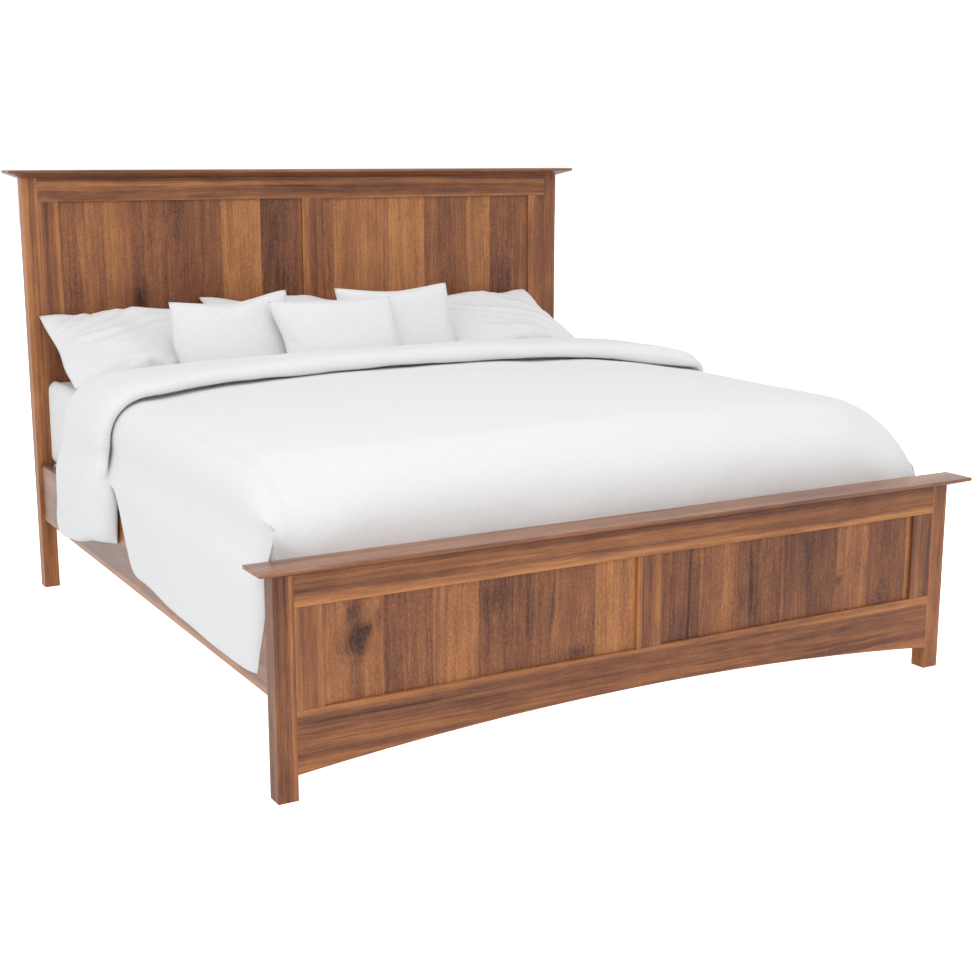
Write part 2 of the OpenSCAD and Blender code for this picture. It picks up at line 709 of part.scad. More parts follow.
module pillow_left() sleeping_pillow(pillow_left_x, -pillow_turn / 2);
module pillow_center() sleeping_pillow(pillow_left_x + pillow_w + pillow_side, 0);
module pillow_right() sleeping_pillow(pillow_right_x, pillow_turn);
module cushion_left() cushion(cushion_left_x, back_bottom, cushion_tilt);
module cushion_center() cushion(cushion_center_x, front_bottom, cushion_tilt - 3);
module cushion_right() cushion(cushion_right_x, back_bottom, cushion_tilt);

// Point of the duvet's underside at s, as x, z and the outward normal's two parts; s is the distance
// from the middle of the bed over the mattress top, its shoulder and down its side
function under(s) = let (a = (s - flat_s) / shoulder_r * 180 / PI, d = s - side_s)
    s < flat_s ? [s, cover_z, 0, 1]
    : s < side_s ? [flat_s + shoulder_r * sin(a), side_z + shoulder_r * cos(a), sin(a), cos(a)]
    : [cover_x + (drape_x - cover_x) * smooth01(d / (side_z - rail_top - 70)), side_z - d, 1, 0];

// How far down the side the point at s lies
function side_depth(s) = max(0, s - side_s);

// Line of the fold and of the band's free edge, and the height of each hem
function fold_line(s) = fold_y + fold_bow * pow(min(s, side_s) / side_s, 2) + 0.5 * side_depth(s);
function band_line(s, side) = let (x = min(s, flat_s) / flat_s) fold_y - band_w - band_bow * pow(x, 8)
    + 190 * smooth01((s - flat_s + (side > 0 ? right_slack : 0)) / 200) + 0.2 * max(0, s - side_s - 95);
function main_hem(y) = hem_z - 25 * smooth01((foot_back + 300 - y) / 200)
    + 190 * pow(smooth01((y - notch_y) / 250), 3);
function band_hem(q) = hem_z - 26 + 86 * pow(1 - q, 1.5);

// Height of the duvet's top over its underside at s; it thins sooner on the right
function duvet_n(s, side) = duvet_t + duvet_puff * (0.39 * smooth01((side_s + 80 - s) / 160)
    + 0.61 * (1 - pow(min(s, flat_s) / flat_s, 2))) - (side > 0 ? 16 * smooth01((s - 600) / 280) : 0);

// Height of the band over the lower layer
function band_thick(s, side) = band_h * (side > 0 ? 1 - 0.25 * smooth01((s - 850) / 100)
    * (1 - smooth01((s - side_s - 60) / 140)) : 1);

// Shares of the foot rounding at s, along the bed and down: all of it on top, none on the sides
function foot_share_y(s) = 1 - smooth01((s - flat_s + 60) / (side_s - flat_s + 90));
function foot_share_z(s) = 1 - smooth01((s - flat_s) / (side_s - flat_s + 30));

// How far the mattress draws back from its foot end at s, round its corner
function corner_back(s) = let (d = max(0, min(s, flat_s) - mattress_w / 2 + mattress_corner_r))
    mattress_corner_r - sqrt(pow(mattress_corner_r, 2) - d * d);

// Foot rounding at step i, as y and drop, for the top or the underside
function foot_turn(i, s, side, top) = let (
    slack = top && side > 0 ? right_slack : 0,
    w = foot_share_y(s + slack / 3),
    corner = smooth01((s - 690) / 250),
    a = i == 0 ? 90 : 90 * (FOOT_N - i) / (FOOT_N - 1),
    r_y = top ? 130 + (130 + slack) * corner : mattress_edge_r * foot_softness,
    r_z = top ? 150 + (40 + 0.3 * slack) * corner : mattress_edge_r,
    y_end = top ? foot_back + cap_back + duvet_pocket
        : mattress_foot - duvet_squeeze + 0.55 * corner_back(s),
    y = y_end + r_y * (1 - sin(a)),
    y_side = foot_back + side_clear + 0.3 * slack + r_y * (1 - sin(a)) + (i == 0 ? 0 : 10))
    [w * y + (1 - w) * y_side, foot_share_z(s) * (i == 0 ? tuck_depth : r_z * (1 - cos(a)))];

// Place along the bed of knot i at s, where s_top is the loop's place on the mattress top
function duvet_y(i, s, s_top, side, top) = let (
    k = i - FOOT_N - MAIN_N,
    start = foot_turn(FOOT_N, s_top, side, top)[0],
    q = duvet_q(i, top))
    i <= FOOT_N ? foot_turn(i, s_top, side, top)[0]
    : k < 0 ? start + (band_line(s, side) - start) * q
    : band_line(s, side) + q * (fold_line(s) - band_line(s, side)) + (top ? BAND[k][1] : 0);

// Share of the main part, or of the band, at which knot i lies
function duvet_q(i, top) = let (k = i - FOOT_N - MAIN_N)
    k < 0 ? (i - FOOT_N) / MAIN_N : top ? BAND[k][0] : k / (len(BAND) - 1);

// One point of the duvet on loop u, 0 at the middle of the bed and 1 at the hem, at knot i
function duvet_point(u, side, i, top) = let (
    s_top = min(1, u / TOP_SHARE) * side_s,
    k = i - FOOT_N - MAIN_N,
    hem = k >= (top ? 2 : 1) ? band_hem(clamp01(duvet_q(i, top)))
        : main_hem(duvet_y(i, s_top, s_top, -1, top)),
    s = s_top + max(0, (u - TOP_SHARE) / (1 - TOP_SHARE)) * (side_z - hem),
    n = !top ? 0 : k < 0 ? duvet_n(s, side)
        : duvet_n(s, k < 2 ? side : -1) * (1 - BAND[k][3]) + band_thick(s, side) * BAND[k][2],
    base = under(s))
    [side * (base[0] + n * base[2]), duvet_y(i, s, s_top, side, top),
     base[1] + n * base[3] - (i <= FOOT_N ? foot_turn(i, s, side, top)[1] : 0)];

function duvet_loop(u, side) = let (last = FOOT_N + MAIN_N + len(BAND) - 1)
    concat([for (i = [0:last]) duvet_point(u, side, i, false)],
           [for (i = [last:-1:0]) duvet_point(u, side, i, true)]);

// Duvet with its head end turned back as a band
module duvet() color(cotton)
    loop_solid(concat([for (i = [len(LOOPS) - 1:-1:1]) duvet_loop(LOOPS[i], 1)],
                      [for (u = LOOPS) duvet_loop(u, -1)]));

headboard_post(-1);  // headboard_post_left
headboard_post(1);  // headboard_post_right
headboard_top_rail();
headboard_bottom_rail();
side_stile(-1, head_y, head_low_top, head_rail_z);  // headboard_stile_left
center_stile(head_y, head_low_top, head_rail_z);  // headboard_stile_center
side_stile(1, head_y, head_low_top, head_rail_z);  // headboard_stile_right
panel(-1, head_y, head_low_top, head_rail_z);  // headboard_panel_left
panel(1, head_y, head_low_top, head_rail_z);  // headboard_panel_right
cap(head_y, head_post_h);  // headboard_cap
footboard_post(-1);  // footboard_post_left
footboard_post(1);  // footboard_post_right
footboard_top_rail();
footboard_bottom_rail();
side_stile(-1, foot_y, foot_low_top, foot_rail_z);  // footboard_stile_left
center_stile(foot_y, foot_low_top, foot_rail_z);  // footboard_stile_center
side_stile(1, foot_y, foot_low_top, foot_rail_z);  // footboard_stile_right
panel(-1, foot_y, foot_low_top, foot_rail_z);  // footboard_panel_left
panel(1, foot_y, foot_low_top, foot_rail_z);  // footboard_panel_right
cap(foot_y, foot_post_h);  // footboard_cap
side_rail(-1);  // side_rail_left
side_rail(1);  // side_rail_right
ledger(-1);  // ledger_left
ledger(1);  // ledger_right
for (c = CORNERS) at_corner(c) hook_plate();
for (c = CORNERS) at_corner(c) slot_plate();
center_beam();
beam_bracket_head();
beam_bracket_foot();
support_leg(-1);  // support_leg_front
support_leg(1);  // support_leg_back
leg_insert(-1);  // leg_insert_front
leg_insert(1);  // leg_insert_back
leveling_foot(-1);  // leveling_foot_front
leveling_foot(1);  // leveling_foot_back
for (i = [0:slat_n - 1]) slat(i);
plate_screws();
base_screws();
foundation();
mattress();
duvet();
pillow_left();
pillow_center();
pillow_right();
cushion_left();
cushion_center();
cushion_right();
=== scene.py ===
import json
import math

import bmesh
import bpy
from mathutils import Matrix, Vector, noise


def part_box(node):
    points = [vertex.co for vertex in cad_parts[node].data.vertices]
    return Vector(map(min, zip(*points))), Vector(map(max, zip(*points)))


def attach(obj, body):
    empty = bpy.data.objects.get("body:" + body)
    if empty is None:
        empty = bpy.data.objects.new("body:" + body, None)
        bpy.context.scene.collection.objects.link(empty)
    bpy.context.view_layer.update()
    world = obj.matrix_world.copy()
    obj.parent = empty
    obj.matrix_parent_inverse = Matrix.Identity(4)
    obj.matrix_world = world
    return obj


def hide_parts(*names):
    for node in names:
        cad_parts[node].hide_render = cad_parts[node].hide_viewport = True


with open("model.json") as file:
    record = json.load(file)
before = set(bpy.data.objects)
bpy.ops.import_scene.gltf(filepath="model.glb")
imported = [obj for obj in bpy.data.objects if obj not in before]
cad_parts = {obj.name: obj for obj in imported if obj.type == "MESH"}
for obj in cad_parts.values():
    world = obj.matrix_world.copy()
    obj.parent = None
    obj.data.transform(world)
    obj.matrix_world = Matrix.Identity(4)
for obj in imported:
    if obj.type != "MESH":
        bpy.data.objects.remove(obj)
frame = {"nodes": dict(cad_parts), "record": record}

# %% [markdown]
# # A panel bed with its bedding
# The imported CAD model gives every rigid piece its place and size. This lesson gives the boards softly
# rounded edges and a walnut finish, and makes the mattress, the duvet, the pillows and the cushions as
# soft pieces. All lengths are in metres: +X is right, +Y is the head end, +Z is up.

scene = bpy.context.scene
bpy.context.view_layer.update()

# %% [markdown]
# Some steps come back for almost every piece: a form becomes a mesh, its object joins the scene, and a
# material starts as one Principled shader, whose sockets are filled with numbers or joined to nodes.

# %% Helpers for objects and materials


def add_object(name, data):
    """An object for the data, linked to the scene."""
    thing = bpy.data.objects.new(name, data)
    scene.collection.objects.link(thing)
    return thing


def to_mesh(bm, name):
    """A mesh from a bmesh, which is freed."""
    mesh = bpy.data.meshes.new(name)
    bm.to_mesh(mesh)
    bm.free()
    return mesh


def new_material(name):
    """A material, its node tree and its Principled shader."""
    material = bpy.data.materials.new(name)
    material.use_nodes = True
    return material, material.node_tree, material.node_tree.nodes["Principled BSDF"]


def set_all(thing, **settings):
    """Makes several settings of a thing."""
    for key, value in settings.items():
        setattr(thing, key, value)


def feed(tree, node, **inputs):
    """Fills sockets of a node: a number or another node's socket for each input, by name or as i0, i1."""
    for key, value in inputs.items():
        socket = node.inputs[int(key[1:])] if key[1:].isdigit() else node.inputs[key.replace("_", " ")]
        if isinstance(value, bpy.types.NodeSocket):
            tree.links.new(value, socket)
        else:
            socket.default_value = value


def put(tree, kind, settings=None, **inputs):
    """A new node with its settings made and its sockets filled."""
    node = tree.nodes.new(kind)
    set_all(node, **(settings or {}))
    feed(tree, node, **inputs)
    return node


print("object helpers ready")

# %% [markdown]
# ## Camera
# The photograph looks at the foot end from the left, a little above the mattress. A camera is a place,
# a direction and a lens. They were found by matching the frame's corners, and the direction becomes a
# rotation with `to_track_quat`, because a Blender camera looks along its own -Z with +Y up.

# %% Camera
EYE = Vector((-2.2282, -4.1684, 1.4333))
GAZE = Vector((0.48078, 0.85211, -0.20680))
LENS = 57.83

camera_data = bpy.data.cameras.new("camera")
set_all(camera_data, lens=LENS, sensor_width=36)
camera = add_object("camera", camera_data)
camera.location = EYE
camera.rotation_euler = GAZE.to_track_quat("-Z", "Y").to_euler()
scene.camera = camera
print("camera azimuth", round(math.degrees(math.atan2(EYE.x, -EYE.y)), 1))

# %% [markdown]
# ## Light and floor
# The photograph is a bright, almost shadowless studio picture on white. A white world lights the bed
# from all sides, one large soft lamp gives the cloth its shading, and the pale floor glows faintly so
# that it stays light under the bed. Seen directly, world and floor are pure white.

# %% Light and floor
WORLD_LIGHT = 0.865
KEY_POWER = 72
KEY_PLACE = (-1.6, -2.4, 4.6)
KEY_TARGET = (0, 0, 0.5)
KEY_SIZE = 4.0
FLOOR_SIZE = 60
FLOOR_LIGHT = 0.20
FLOOR_DROP = 0.0005
SEEN_WHITE = 1.05


def seen_white(tree, light):
    """SEEN_WHITE for what the camera sees directly, and light for everything else."""
    seen = put(tree, "ShaderNodeLightPath").outputs["Is Camera Ray"]
    return put(tree, "ShaderNodeMapRange", Value=seen, To_Min=light, To_Max=SEEN_WHITE).outputs["Result"]


def make_world():
    """A white world that lights the bed from all sides."""
    world = bpy.data.worlds.new("studio")
    world.use_nodes = True
    scene.world = world
    tree = world.node_tree
    feed(tree, tree.nodes["Background"], Color=(1, 1, 1, 1), Strength=seen_white(tree, WORLD_LIGHT))


def make_key():
    """A square lamp aimed at the bed."""
    data = bpy.data.lights.new("key", "AREA")
    set_all(data, size=KEY_SIZE, energy=KEY_POWER)
    lamp = add_object("key", data)
    lamp.location = KEY_PLACE
    lamp.rotation_euler = (Vector(KEY_TARGET) - Vector(KEY_PLACE)).to_track_quat("-Z", "Y").to_euler()


def make_floor():
    """A large pale floor that glows a little."""
    bm = bmesh.new()
    bmesh.ops.create_grid(bm, x_segments=1, y_segments=1, size=FLOOR_SIZE / 2)
    bmesh.ops.translate(bm, verts=bm.verts, vec=(0, 0, -FLOOR_DROP))
    mesh = to_mesh(bm, "floor")
    floor = add_object("floor", mesh)
    material, tree, shader = new_material("pale_floor")
    feed(tree, shader, Base_Color=(0.9, 0.9, 0.9, 1), Roughness=1, Specular_IOR_Level=0,
         Emission_Color=(1, 1, 1, 1), Emission_Strength=seen_white(tree, FLOOR_LIGHT))
    mesh.materials.append(material)


make_world()
make_key()
make_floor()
scene.view_settings.view_transform = "Standard"
print("world", WORLD_LIGHT, "key", KEY_POWER, "W")

# %% [markdown]
# ## Node groups
# Three effects appear in more than one finish: wood grain, knots and cotton weave. Each is a shader node
# group, built once, and every material places it with its own values. Small helpers make the usual nodes,
# so that each recipe below reads like a list.

# %% Helpers for node trees


def maths(tree, operation, a, b=0.0, c=0.0, clamp=False):
    """The result of one Math node."""
    return put(tree, "ShaderNodeMath", {"operation": operation, "use_clamp": clamp},
               i0=a, i1=b, i2=c).outputs[0]


def times(tree, a, *more):
    """The product of all values."""
    for b in more:
        a = maths(tree, "MULTIPLY", a, b)
    return a


def ramp(tree, value, stops, interpolation="LINEAR"):
    """A colour ramp over value. A stop is a place and a grey level or a colour."""
    node = put(tree, "ShaderNodeValToRGB", Fac=value)
    band = node.color_ramp
    band.interpolation = interpolation
    while len(band.elements) < len(stops):
        band.elements.new(1)
    for element, (place, tone) in zip(band.elements, stops):
        element.position = place
        element.color = (*tone, 1) if hasattr(tone, "__len__") else (tone, tone, tone, 1)
    return node.outputs["Color"]


def vectors(tree, operation, a, b, c=(0.0, 0.0, 0.0)):
    """The result of one Vector Math node."""
    return put(tree, "ShaderNodeVectorMath", {"operation": operation}, i0=a, i1=b, i2=c).outputs[0]


def combined(tree, x, y, z):
    """A vector from three numbers or sockets."""
    return put(tree, "ShaderNodeCombineXYZ", X=x, Y=y, Z=z).outputs[0]


def cloudy(tree, vector, scale=1.0, detail=3.0, roughness=0.55):
    """The value of a noise texture."""
    return put(tree, "ShaderNodeTexNoise", Vector=vector, Scale=scale, Detail=detail,
               Roughness=roughness).outputs["Fac"]


def streaky(tree, vector, along, across, **settings):
    """Noise with its own scale along and across the grain."""
    return cloudy(tree, vectors(tree, "MULTIPLY", vector, (along, across, across)), **settings)


def varied(tree, total, layer, gain):
    """total, raised or lowered by a noise layer around its mean of one half."""
    return maths(tree, "MULTIPLY_ADD", maths(tree, "SUBTRACT", layer, 0.5), gain, total)


def new_group(name, inputs, outputs):
    """An empty node group. inputs and outputs give each socket's type by its name."""
    group = bpy.data.node_groups.new(name, "ShaderNodeTree")
    for direction, sockets in (("INPUT", inputs), ("OUTPUT", outputs)):
        for label, kind in sockets.items():
            group.interface.new_socket(label, in_out=direction, socket_type="NodeSocket" + kind)
    return group, group.nodes.new("NodeGroupInput"), group.nodes.new("NodeGroupOutput")


print("helpers ready")

# %% [markdown]
# ## Walnut
# Sawn walnut has broad bands of tone, long streaks, a few thin dark veins and short pores. All of them
# are noise that is stretched along the grain. Where a board is cut flat, the lines wander and swing; the
# Figure input says how much. The board's own bands come in through Tone, so each board can be matched
# to the photograph, and one ramp turns the sum into walnut's colours.

# %% Walnut grain
WALNUT = [(0.0, (0.040, 0.014, 0.009)), (0.25, (0.126, 0.045, 0.024)), (0.5, (0.236, 0.087, 0.037)),
          (0.75, (0.370, 0.145, 0.053)), (1.0, (0.530, 0.225, 0.080))]


def make_grain():
    """Group: grain coordinates in metres and tone in, colour, roughness and height out."""
    group, start, end = new_group(
        "walnut grain",
        {"Vector": "Vector", "Tone": "Float", "Figure": "Float", "Streaks": "Float", "Speckle": "Float"},
        {"Color": "Color", "Roughness": "Float", "Height": "Float"})
    vector = start.outputs["Vector"]
    figure = start.outputs["Figure"]
    amount = start.outputs["Streaks"]
    swing = maths(group, "SUBTRACT", streaky(group, vector, 1.1, 4.0, detail=1.0), 0.5)
    ripple = maths(group, "SUBTRACT", streaky(group, vector, 11.0, 16.0, detail=2.0), 0.5)
    swing = times(group, swing, maths(group, "MULTIPLY_ADD", figure, 0.16, 0.022))
    ripple = times(group, ripple, maths(group, "MULTIPLY_ADD", figure, 0.060, 0.003))
    bent = vectors(group, "ADD", vector, combined(group, 0.0, maths(group, "ADD", swing, ripple), 0.0))
    broad = streaky(group, bent, 0.8, 22.0, detail=2.0)
    streaks = streaky(group, bent, 2.2, 95.0, detail=4.0, roughness=0.68)
    hair = streaky(group, bent, 11.0, 360.0, roughness=0.6)
    clouds = streaky(group, vector, 8.0, 18.0, detail=4.0, roughness=0.6)
    dots = streaky(group, vector, 120.0, 330.0, roughness=0.7)
    veins = ramp(group, streaky(group, bent, 1.3, 58.0, detail=1.0, roughness=0.4), [(0.62, 0), (0.74, 1)])
    pores = ramp(group, streaky(group, bent, 30.0, 800.0, detail=1.0), [(0.62, 0), (0.76, 1)])
    total = start.outputs["Tone"]
    for layer, gain in ((broad, times(group, amount, 0.90)), (streaks, amount), (hair, 0.62), (clouds, 0.50),
                        (dots, start.outputs["Speckle"])):
        total = varied(group, total, layer, gain)
    total = maths(group, "MULTIPLY_ADD", veins, times(group, amount, -0.26), total)
    total = maths(group, "MULTIPLY_ADD", pores, -0.16, total, clamp=True)
    feed(group, end, Color=ramp(group, total, WALNUT),
         Roughness=maths(group, "MULTIPLY_ADD", streaks, 0.16, 0.30),
         Height=maths(group, "MULTIPLY_ADD", pores, -0.6, times(group, hair, 0.5)))
    return group


GRAIN = make_grain()
print("node groups:", [g.name for g in bpy.data.node_groups])

# %% [markdown]
# A knot is a dark eye that the grain flows round. Its group measures the distance from the eye in the
# board's plane, darkens the middle and pushes the lines apart beside it. A long, narrow eye without a
# push also serves as a dark cloud in the figure.

# %% Knots


def make_knot():
    """Group: moves the grain round one eye and darkens it. Place and Size are along and across the grain."""
    group, start, end = new_group(
        "knot",
        {"Vector": "Vector", "Tone": "Float", "Place": "Vector", "Size": "Vector", "Dark": "Float",
         "Push": "Float"},
        {"Vector": "Vector", "Tone": "Float"})
    vector = start.outputs["Vector"]
    ruffle = put(group, "ShaderNodeTexNoise", Vector=vector, Scale=26.0, Detail=2.0).outputs["Color"]
    ruffle = vectors(group, "SUBTRACT", ruffle, (0.5, 0.5, 0.5))
    place = vectors(group, "SUBTRACT", vector, start.outputs["Place"])
    near = vectors(group, "DIVIDE", place, start.outputs["Size"])
    near = vectors(group, "MULTIPLY_ADD", ruffle, (1.6, 1.6, 0.0), near)
    flat = vectors(group, "MULTIPLY", near, (1.0, 1.0, 0.0))
    gap = put(group, "ShaderNodeVectorMath", {"operation": "LENGTH"}, i0=flat).outputs["Value"]
    eye = maths(group, "POWER", 2.718, times(group, gap, gap, -1.0))
    across = put(group, "ShaderNodeSeparateXYZ", Vector=place).outputs["Y"]
    bend = times(group, across, eye, start.outputs["Push"])
    darker = times(group, eye, start.outputs["Dark"])
    feed(group, end, Vector=vectors(group, "SUBTRACT", vector, combined(group, 0.0, bend, 0.0)),
         Tone=maths(group, "SUBTRACT", start.outputs["Tone"], darker))
    return group


KNOT = make_knot()

# %% [markdown]
# ## Board materials
# Every board carries a `grain` attribute: metres along the grain, across the face and through the
# thickness. The material turns the place across the face into the board's bands with a ramp. Each stop
# of the ramp holds a tone in red and an amount of figure in green. A rail is one plank, so its bands
# blend and wander; a panel is glued up from staves, so its bands change at a line, and every stave
# shows another part of the noise.

# %% Board materials
STAVE_SHIFT = 0.37
STAVE_ALONG, STAVE_THROUGH = 9.3, 4.1
SEED_THROUGH = 0.61
PORE_DEPTH = 0.0004


def wood(name, bands, low, high, seed, streaks=0.85, speckle=0.35, staves=False, wander=0.03, knots=(),
         coat=0.0):
    """Walnut for boards whose bands lie between low and high, in metres across the grain."""
    material, tree, shader = new_material(name)
    grain = put(tree, "ShaderNodeAttribute", {"attribute_name": "grain"}).outputs["Vector"]
    vector = own = vectors(tree, "ADD", grain, (seed, 0.0, seed * SEED_THROUGH))
    place = put(tree, "ShaderNodeSeparateXYZ", Vector=grain).outputs["Y"]
    drift = streaky(tree, own, 0.9, 2.0, detail=2.0)
    place = varied(tree, place, drift, 0.0 if staves else wander)
    share = put(tree, "ShaderNodeMapRange", Value=place, From_Min=low, From_Max=high).outputs["Result"]
    stops = [(at, (tone, figure, (i * STAVE_SHIFT) % 1)) for i, (at, tone, figure) in enumerate(bands)]
    colours = ramp(tree, share, stops, "CONSTANT" if staves else "EASE")
    band = put(tree, "ShaderNodeSeparateColor", Color=colours).outputs
    tone = band["Red"]
    if staves:
        step = combined(tree, times(tree, band["Blue"], STAVE_ALONG), 0.0,
                        times(tree, band["Blue"], STAVE_THROUGH))
        vector = vectors(tree, "ADD", own, step)
    for along, across, length, width, dark, push in knots:
        knot = put(tree, "ShaderNodeGroup", {"node_tree": KNOT}, Vector=grain, Tone=tone,
                   Place=(along, across, 0.0), Size=(length, width, 1.0), Dark=dark, Push=push)
        tone = knot.outputs["Tone"]
        vector = vectors(tree, "ADD", vector, vectors(tree, "SUBTRACT", knot.outputs["Vector"], grain))
    look = put(tree, "ShaderNodeGroup", {"node_tree": GRAIN}, Vector=vector, Tone=tone,
               Figure=band["Green"], Streaks=streaks, Speckle=speckle)
    bump = put(tree, "ShaderNodeBump", Height=look.outputs["Height"], Strength=0.12, Distance=PORE_DEPTH)
    feed(tree, shader, Base_Color=look.outputs["Color"], Roughness=look.outputs["Roughness"],
         Normal=bump.outputs["Normal"], Specular_IOR_Level=0.35, Coat_Weight=coat, Coat_Roughness=0.3)
    return material


# Share of the width, tone, figure
# The foot top rail's last stop, the dark band along its top edge under the cap, is painted shadow of the
# cap's overhang; the other stops are the grain's own bands.
FOOT_TOP_SHADED_UNDER_CAP = [(0, .85, 0), (.20, .83, 0), (.30, .57, .1), (.40, .45, .1), (.55, .65, 0), (.72, .63, 0),
            (.90, .39, 0)]
FOOT_LOW = [(0, .79, 0), (.15, .75, 0), (.26, .47, .1), (.45, .57, 0), (.62, .47, .1), (.85, .49, 0),
            (.93, .79, 0)]
HEAD_TOP = [(0, .67, 0), (.15, .60, 0), (.30, .43, .1), (.60, .47, 0), (.75, .77, 0), (.88, .75, 0),
            (.96, .45, 0)]
HEAD_LOW = [(0, .5, 0), (.5, .45, 0), (1, .55, 0)]
# The caps' lighter last stop, on their top face, is painted sheen over the walnut's own tone; the support
# legs reuse these bands.
CAP_WITH_PAINTED_SHEEN = [(0, .42, 0), (.4, .44, 0), (.8, .46, 0), (1, .60, 0)]
LEFT_POST = [(0, .85, 0), (.25, .79, 0), (.45, .55, 0), (.70, .61, 0), (.85, .79, 0), (1, .65, 0)]
RIGHT_POST = [(0, .42, 0), (.3, .56, 0), (.5, .44, 0), (.8, .38, 0), (1, .45, 0)]
FOOT_POST = [(0, .46, 0), (.40, .49, 0), (.72, .50, 0), (.82, .76, 0), (.90, .70, 0), (1, .54, 0)]
LEFT_STILE = [(0, .74, 0), (.15, .68, 0), (.28, .52, 0), (.70, .52, 0), (.82, .84, 0), (.92, .80, 0),
              (1, .58, 0)]
MIDDLE_STILE = [(0, .77, 0), (.2, .71, 0), (.4, .51, 0), (.6, .47, 0), (.8, .63, 0), (1, .49, 0)]
RIGHT_STILE = [(0, .47, 0), (.25, .61, 0), (.5, .53, 0), (.8, .45, 0), (1, .55, 0)]
SIDE_RAIL = [(0, .88, 0), (.07, .83, 0), (.12, .48, 0), (.5, .53, 0), (1, .48, 0)]

HEAD_LEFT = [(0, .56, .2), (.105, .64, .1), (.28, .48, .3), (.42, .44, .2), (.645, .82, 0), (.81, .36, .6),
             (.97, .62, 0)]
HEAD_RIGHT = [(0, .65, 0), (.06, .71, .1), (.31, .85, .1), (.48, .49, .2), (.67, .71, .2), (.80, .47, .3),
              (.95, .61, 0)]
FOOT_LEFT = [(0, .65, 0), (.05, .69, .3), (.18, .45, .1), (.33, .69, .1), (.47, .45, .2), (.68, .49, .3),
             (.85, .77, .1)]
FOOT_RIGHT = [(0, .40, .2), (.15, .60, .1), (.29, .44, .1), (.46, .42, .3), (.68, .62, .2), (.81, .46, .5),
              (.97, .84, 0)]

# Along, across, length, width in metres, darkness, push
HEAD_LEFT_KNOTS = [(0.960, -0.635, .050, .030, .30, .3), (1.240, -0.500, .10, .030, .10, .8)]
HEAD_RIGHT_KNOTS = [(1.000, 0.800, .16, .045, .16, .2)]
FOOT_LEFT_KNOTS = [(0.350, -0.806, .030, .036, .40, .6), (0.424, -0.819, .026, .014, .42, .5),
                   (0.380, -0.783, .016, .020, .42, .5), (0.400, -0.750, .020, .010, .28, .3),
                   (0.407, -0.447, .040, .030, .24, .3), (0.233, -0.213, .016, .045, .30, .3)]
FOOT_RIGHT_KNOTS = [(0.302, 0.636, .012, .010, .34, 1.2), (0.400, 0.520, .08, .018, .20, .4),
                    (0.330, 0.330, .12, .006, .45, .0), (0.258, 0.799, .040, .030, .16, 1.2)]

# %% [markdown]
# ## Boards
# A CAD board is loose triangles with knife edges. A copy is merged, its flat faces are joined into one
# each, and every sharp edge gets a small round. The rounds catch light, and where two flush boards
# meet they leave the thin dark line that a real joint shows.

# %% Boards
AXES = {"x": (0, 2, 1), "z": (2, 0, 1), "y": (1, 2, 0)}
FLAT_ANGLE = math.radians(0.05)
SHARP_ANGLE = 0.3
EDGE_ROUND = 0.0012
SEED_RANGE, SEED_STEP = 97, 0.73


def round_edges(bm, edges, radius, segments):
    """Bevels edges with a round section."""
    bmesh.ops.bevel(bm, geom=edges, offset=radius, segments=segments, profile=0.5, affect="EDGES",
                    material=-1, clamp_overlap=True)


def board(node, grain, material):
    """Replaces one CAD board. grain is the axis that its grain follows."""
    bm = bmesh.new()
    bm.from_mesh(frame["nodes"][node].data)
    bmesh.ops.remove_doubles(bm, verts=bm.verts, dist=1e-6)
    bmesh.ops.dissolve_limit(bm, angle_limit=FLAT_ANGLE, verts=bm.verts, edges=bm.edges)
    sharp = [e for e in bm.edges if e.is_manifold and e.calc_face_angle() > SHARP_ANGLE]
    round_edges(bm, sharp, EDGE_ROUND, 2)
    layer = bm.verts.layers.float_vector.new("grain")
    along, across, through = AXES[grain]
    for vertex in bm.verts:
        vertex[layer] = (vertex.co[along], vertex.co[across], vertex.co[through])
    mesh = to_mesh(bm, node)
    mesh.materials.append(material)
    piece = add_object("board_" + node, mesh)
    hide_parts(node)
    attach(piece, "bed")


def dress(node, grain, bands, **settings):
    """Board with a material of its own."""
    low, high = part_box(node)
    across = AXES[grain][1]
    seed = sum(ord(c) for c in node) % SEED_RANGE * SEED_STEP
    board(node, grain, wood("walnut_" + node, bands, low[across], high[across], seed, **settings))


for end, top, low in (("head", HEAD_TOP, HEAD_LOW), ("foot", FOOT_TOP_SHADED_UNDER_CAP, FOOT_LOW)):
    dress(end + "board_top_rail", "x", top, wander=0.035)
    dress(end + "board_bottom_rail", "x", low, wander=0.035)
    dress(end + "board_cap", "x", CAP_WITH_PAINTED_SHEEN, coat=0.6)
    for side, bands in (("left", LEFT_STILE), ("center", MIDDLE_STILE), ("right", RIGHT_STILE)):
        dress(f"{end}board_stile_{side}", "z", bands, wander=0.015)
for node, bands in (("headboard_post_left", LEFT_POST), ("headboard_post_right", RIGHT_POST),
                    ("footboard_post_left", FOOT_POST), ("footboard_post_right", LEFT_POST)):
    dress(node, "z", bands, wander=0.01)
for node, bands, knots in (("headboard_panel_left", HEAD_LEFT, HEAD_LEFT_KNOTS),
                           ("headboard_panel_right", HEAD_RIGHT, HEAD_RIGHT_KNOTS),
                           ("footboard_panel_left", FOOT_LEFT, FOOT_LEFT_KNOTS),
                           ("footboard_panel_right", FOOT_RIGHT, FOOT_RIGHT_KNOTS)):
    dress(node, "z", bands, streaks=0.60, speckle=1.00, staves=True, knots=knots)
for side in ("left", "right"):
    dress("side_rail_" + side, "y", SIDE_RAIL, wander=0.02, coat=0.5)

# %% [markdown]
# ## Hidden base
# The slats, ledgers and beam are pale pine and the fittings are zinc-plated steel. They are CAD nodes
# of the right shape, so they only get a finish, which reads the object's own coordinates. The two
# centre legs are walnut boards like those of the frame.

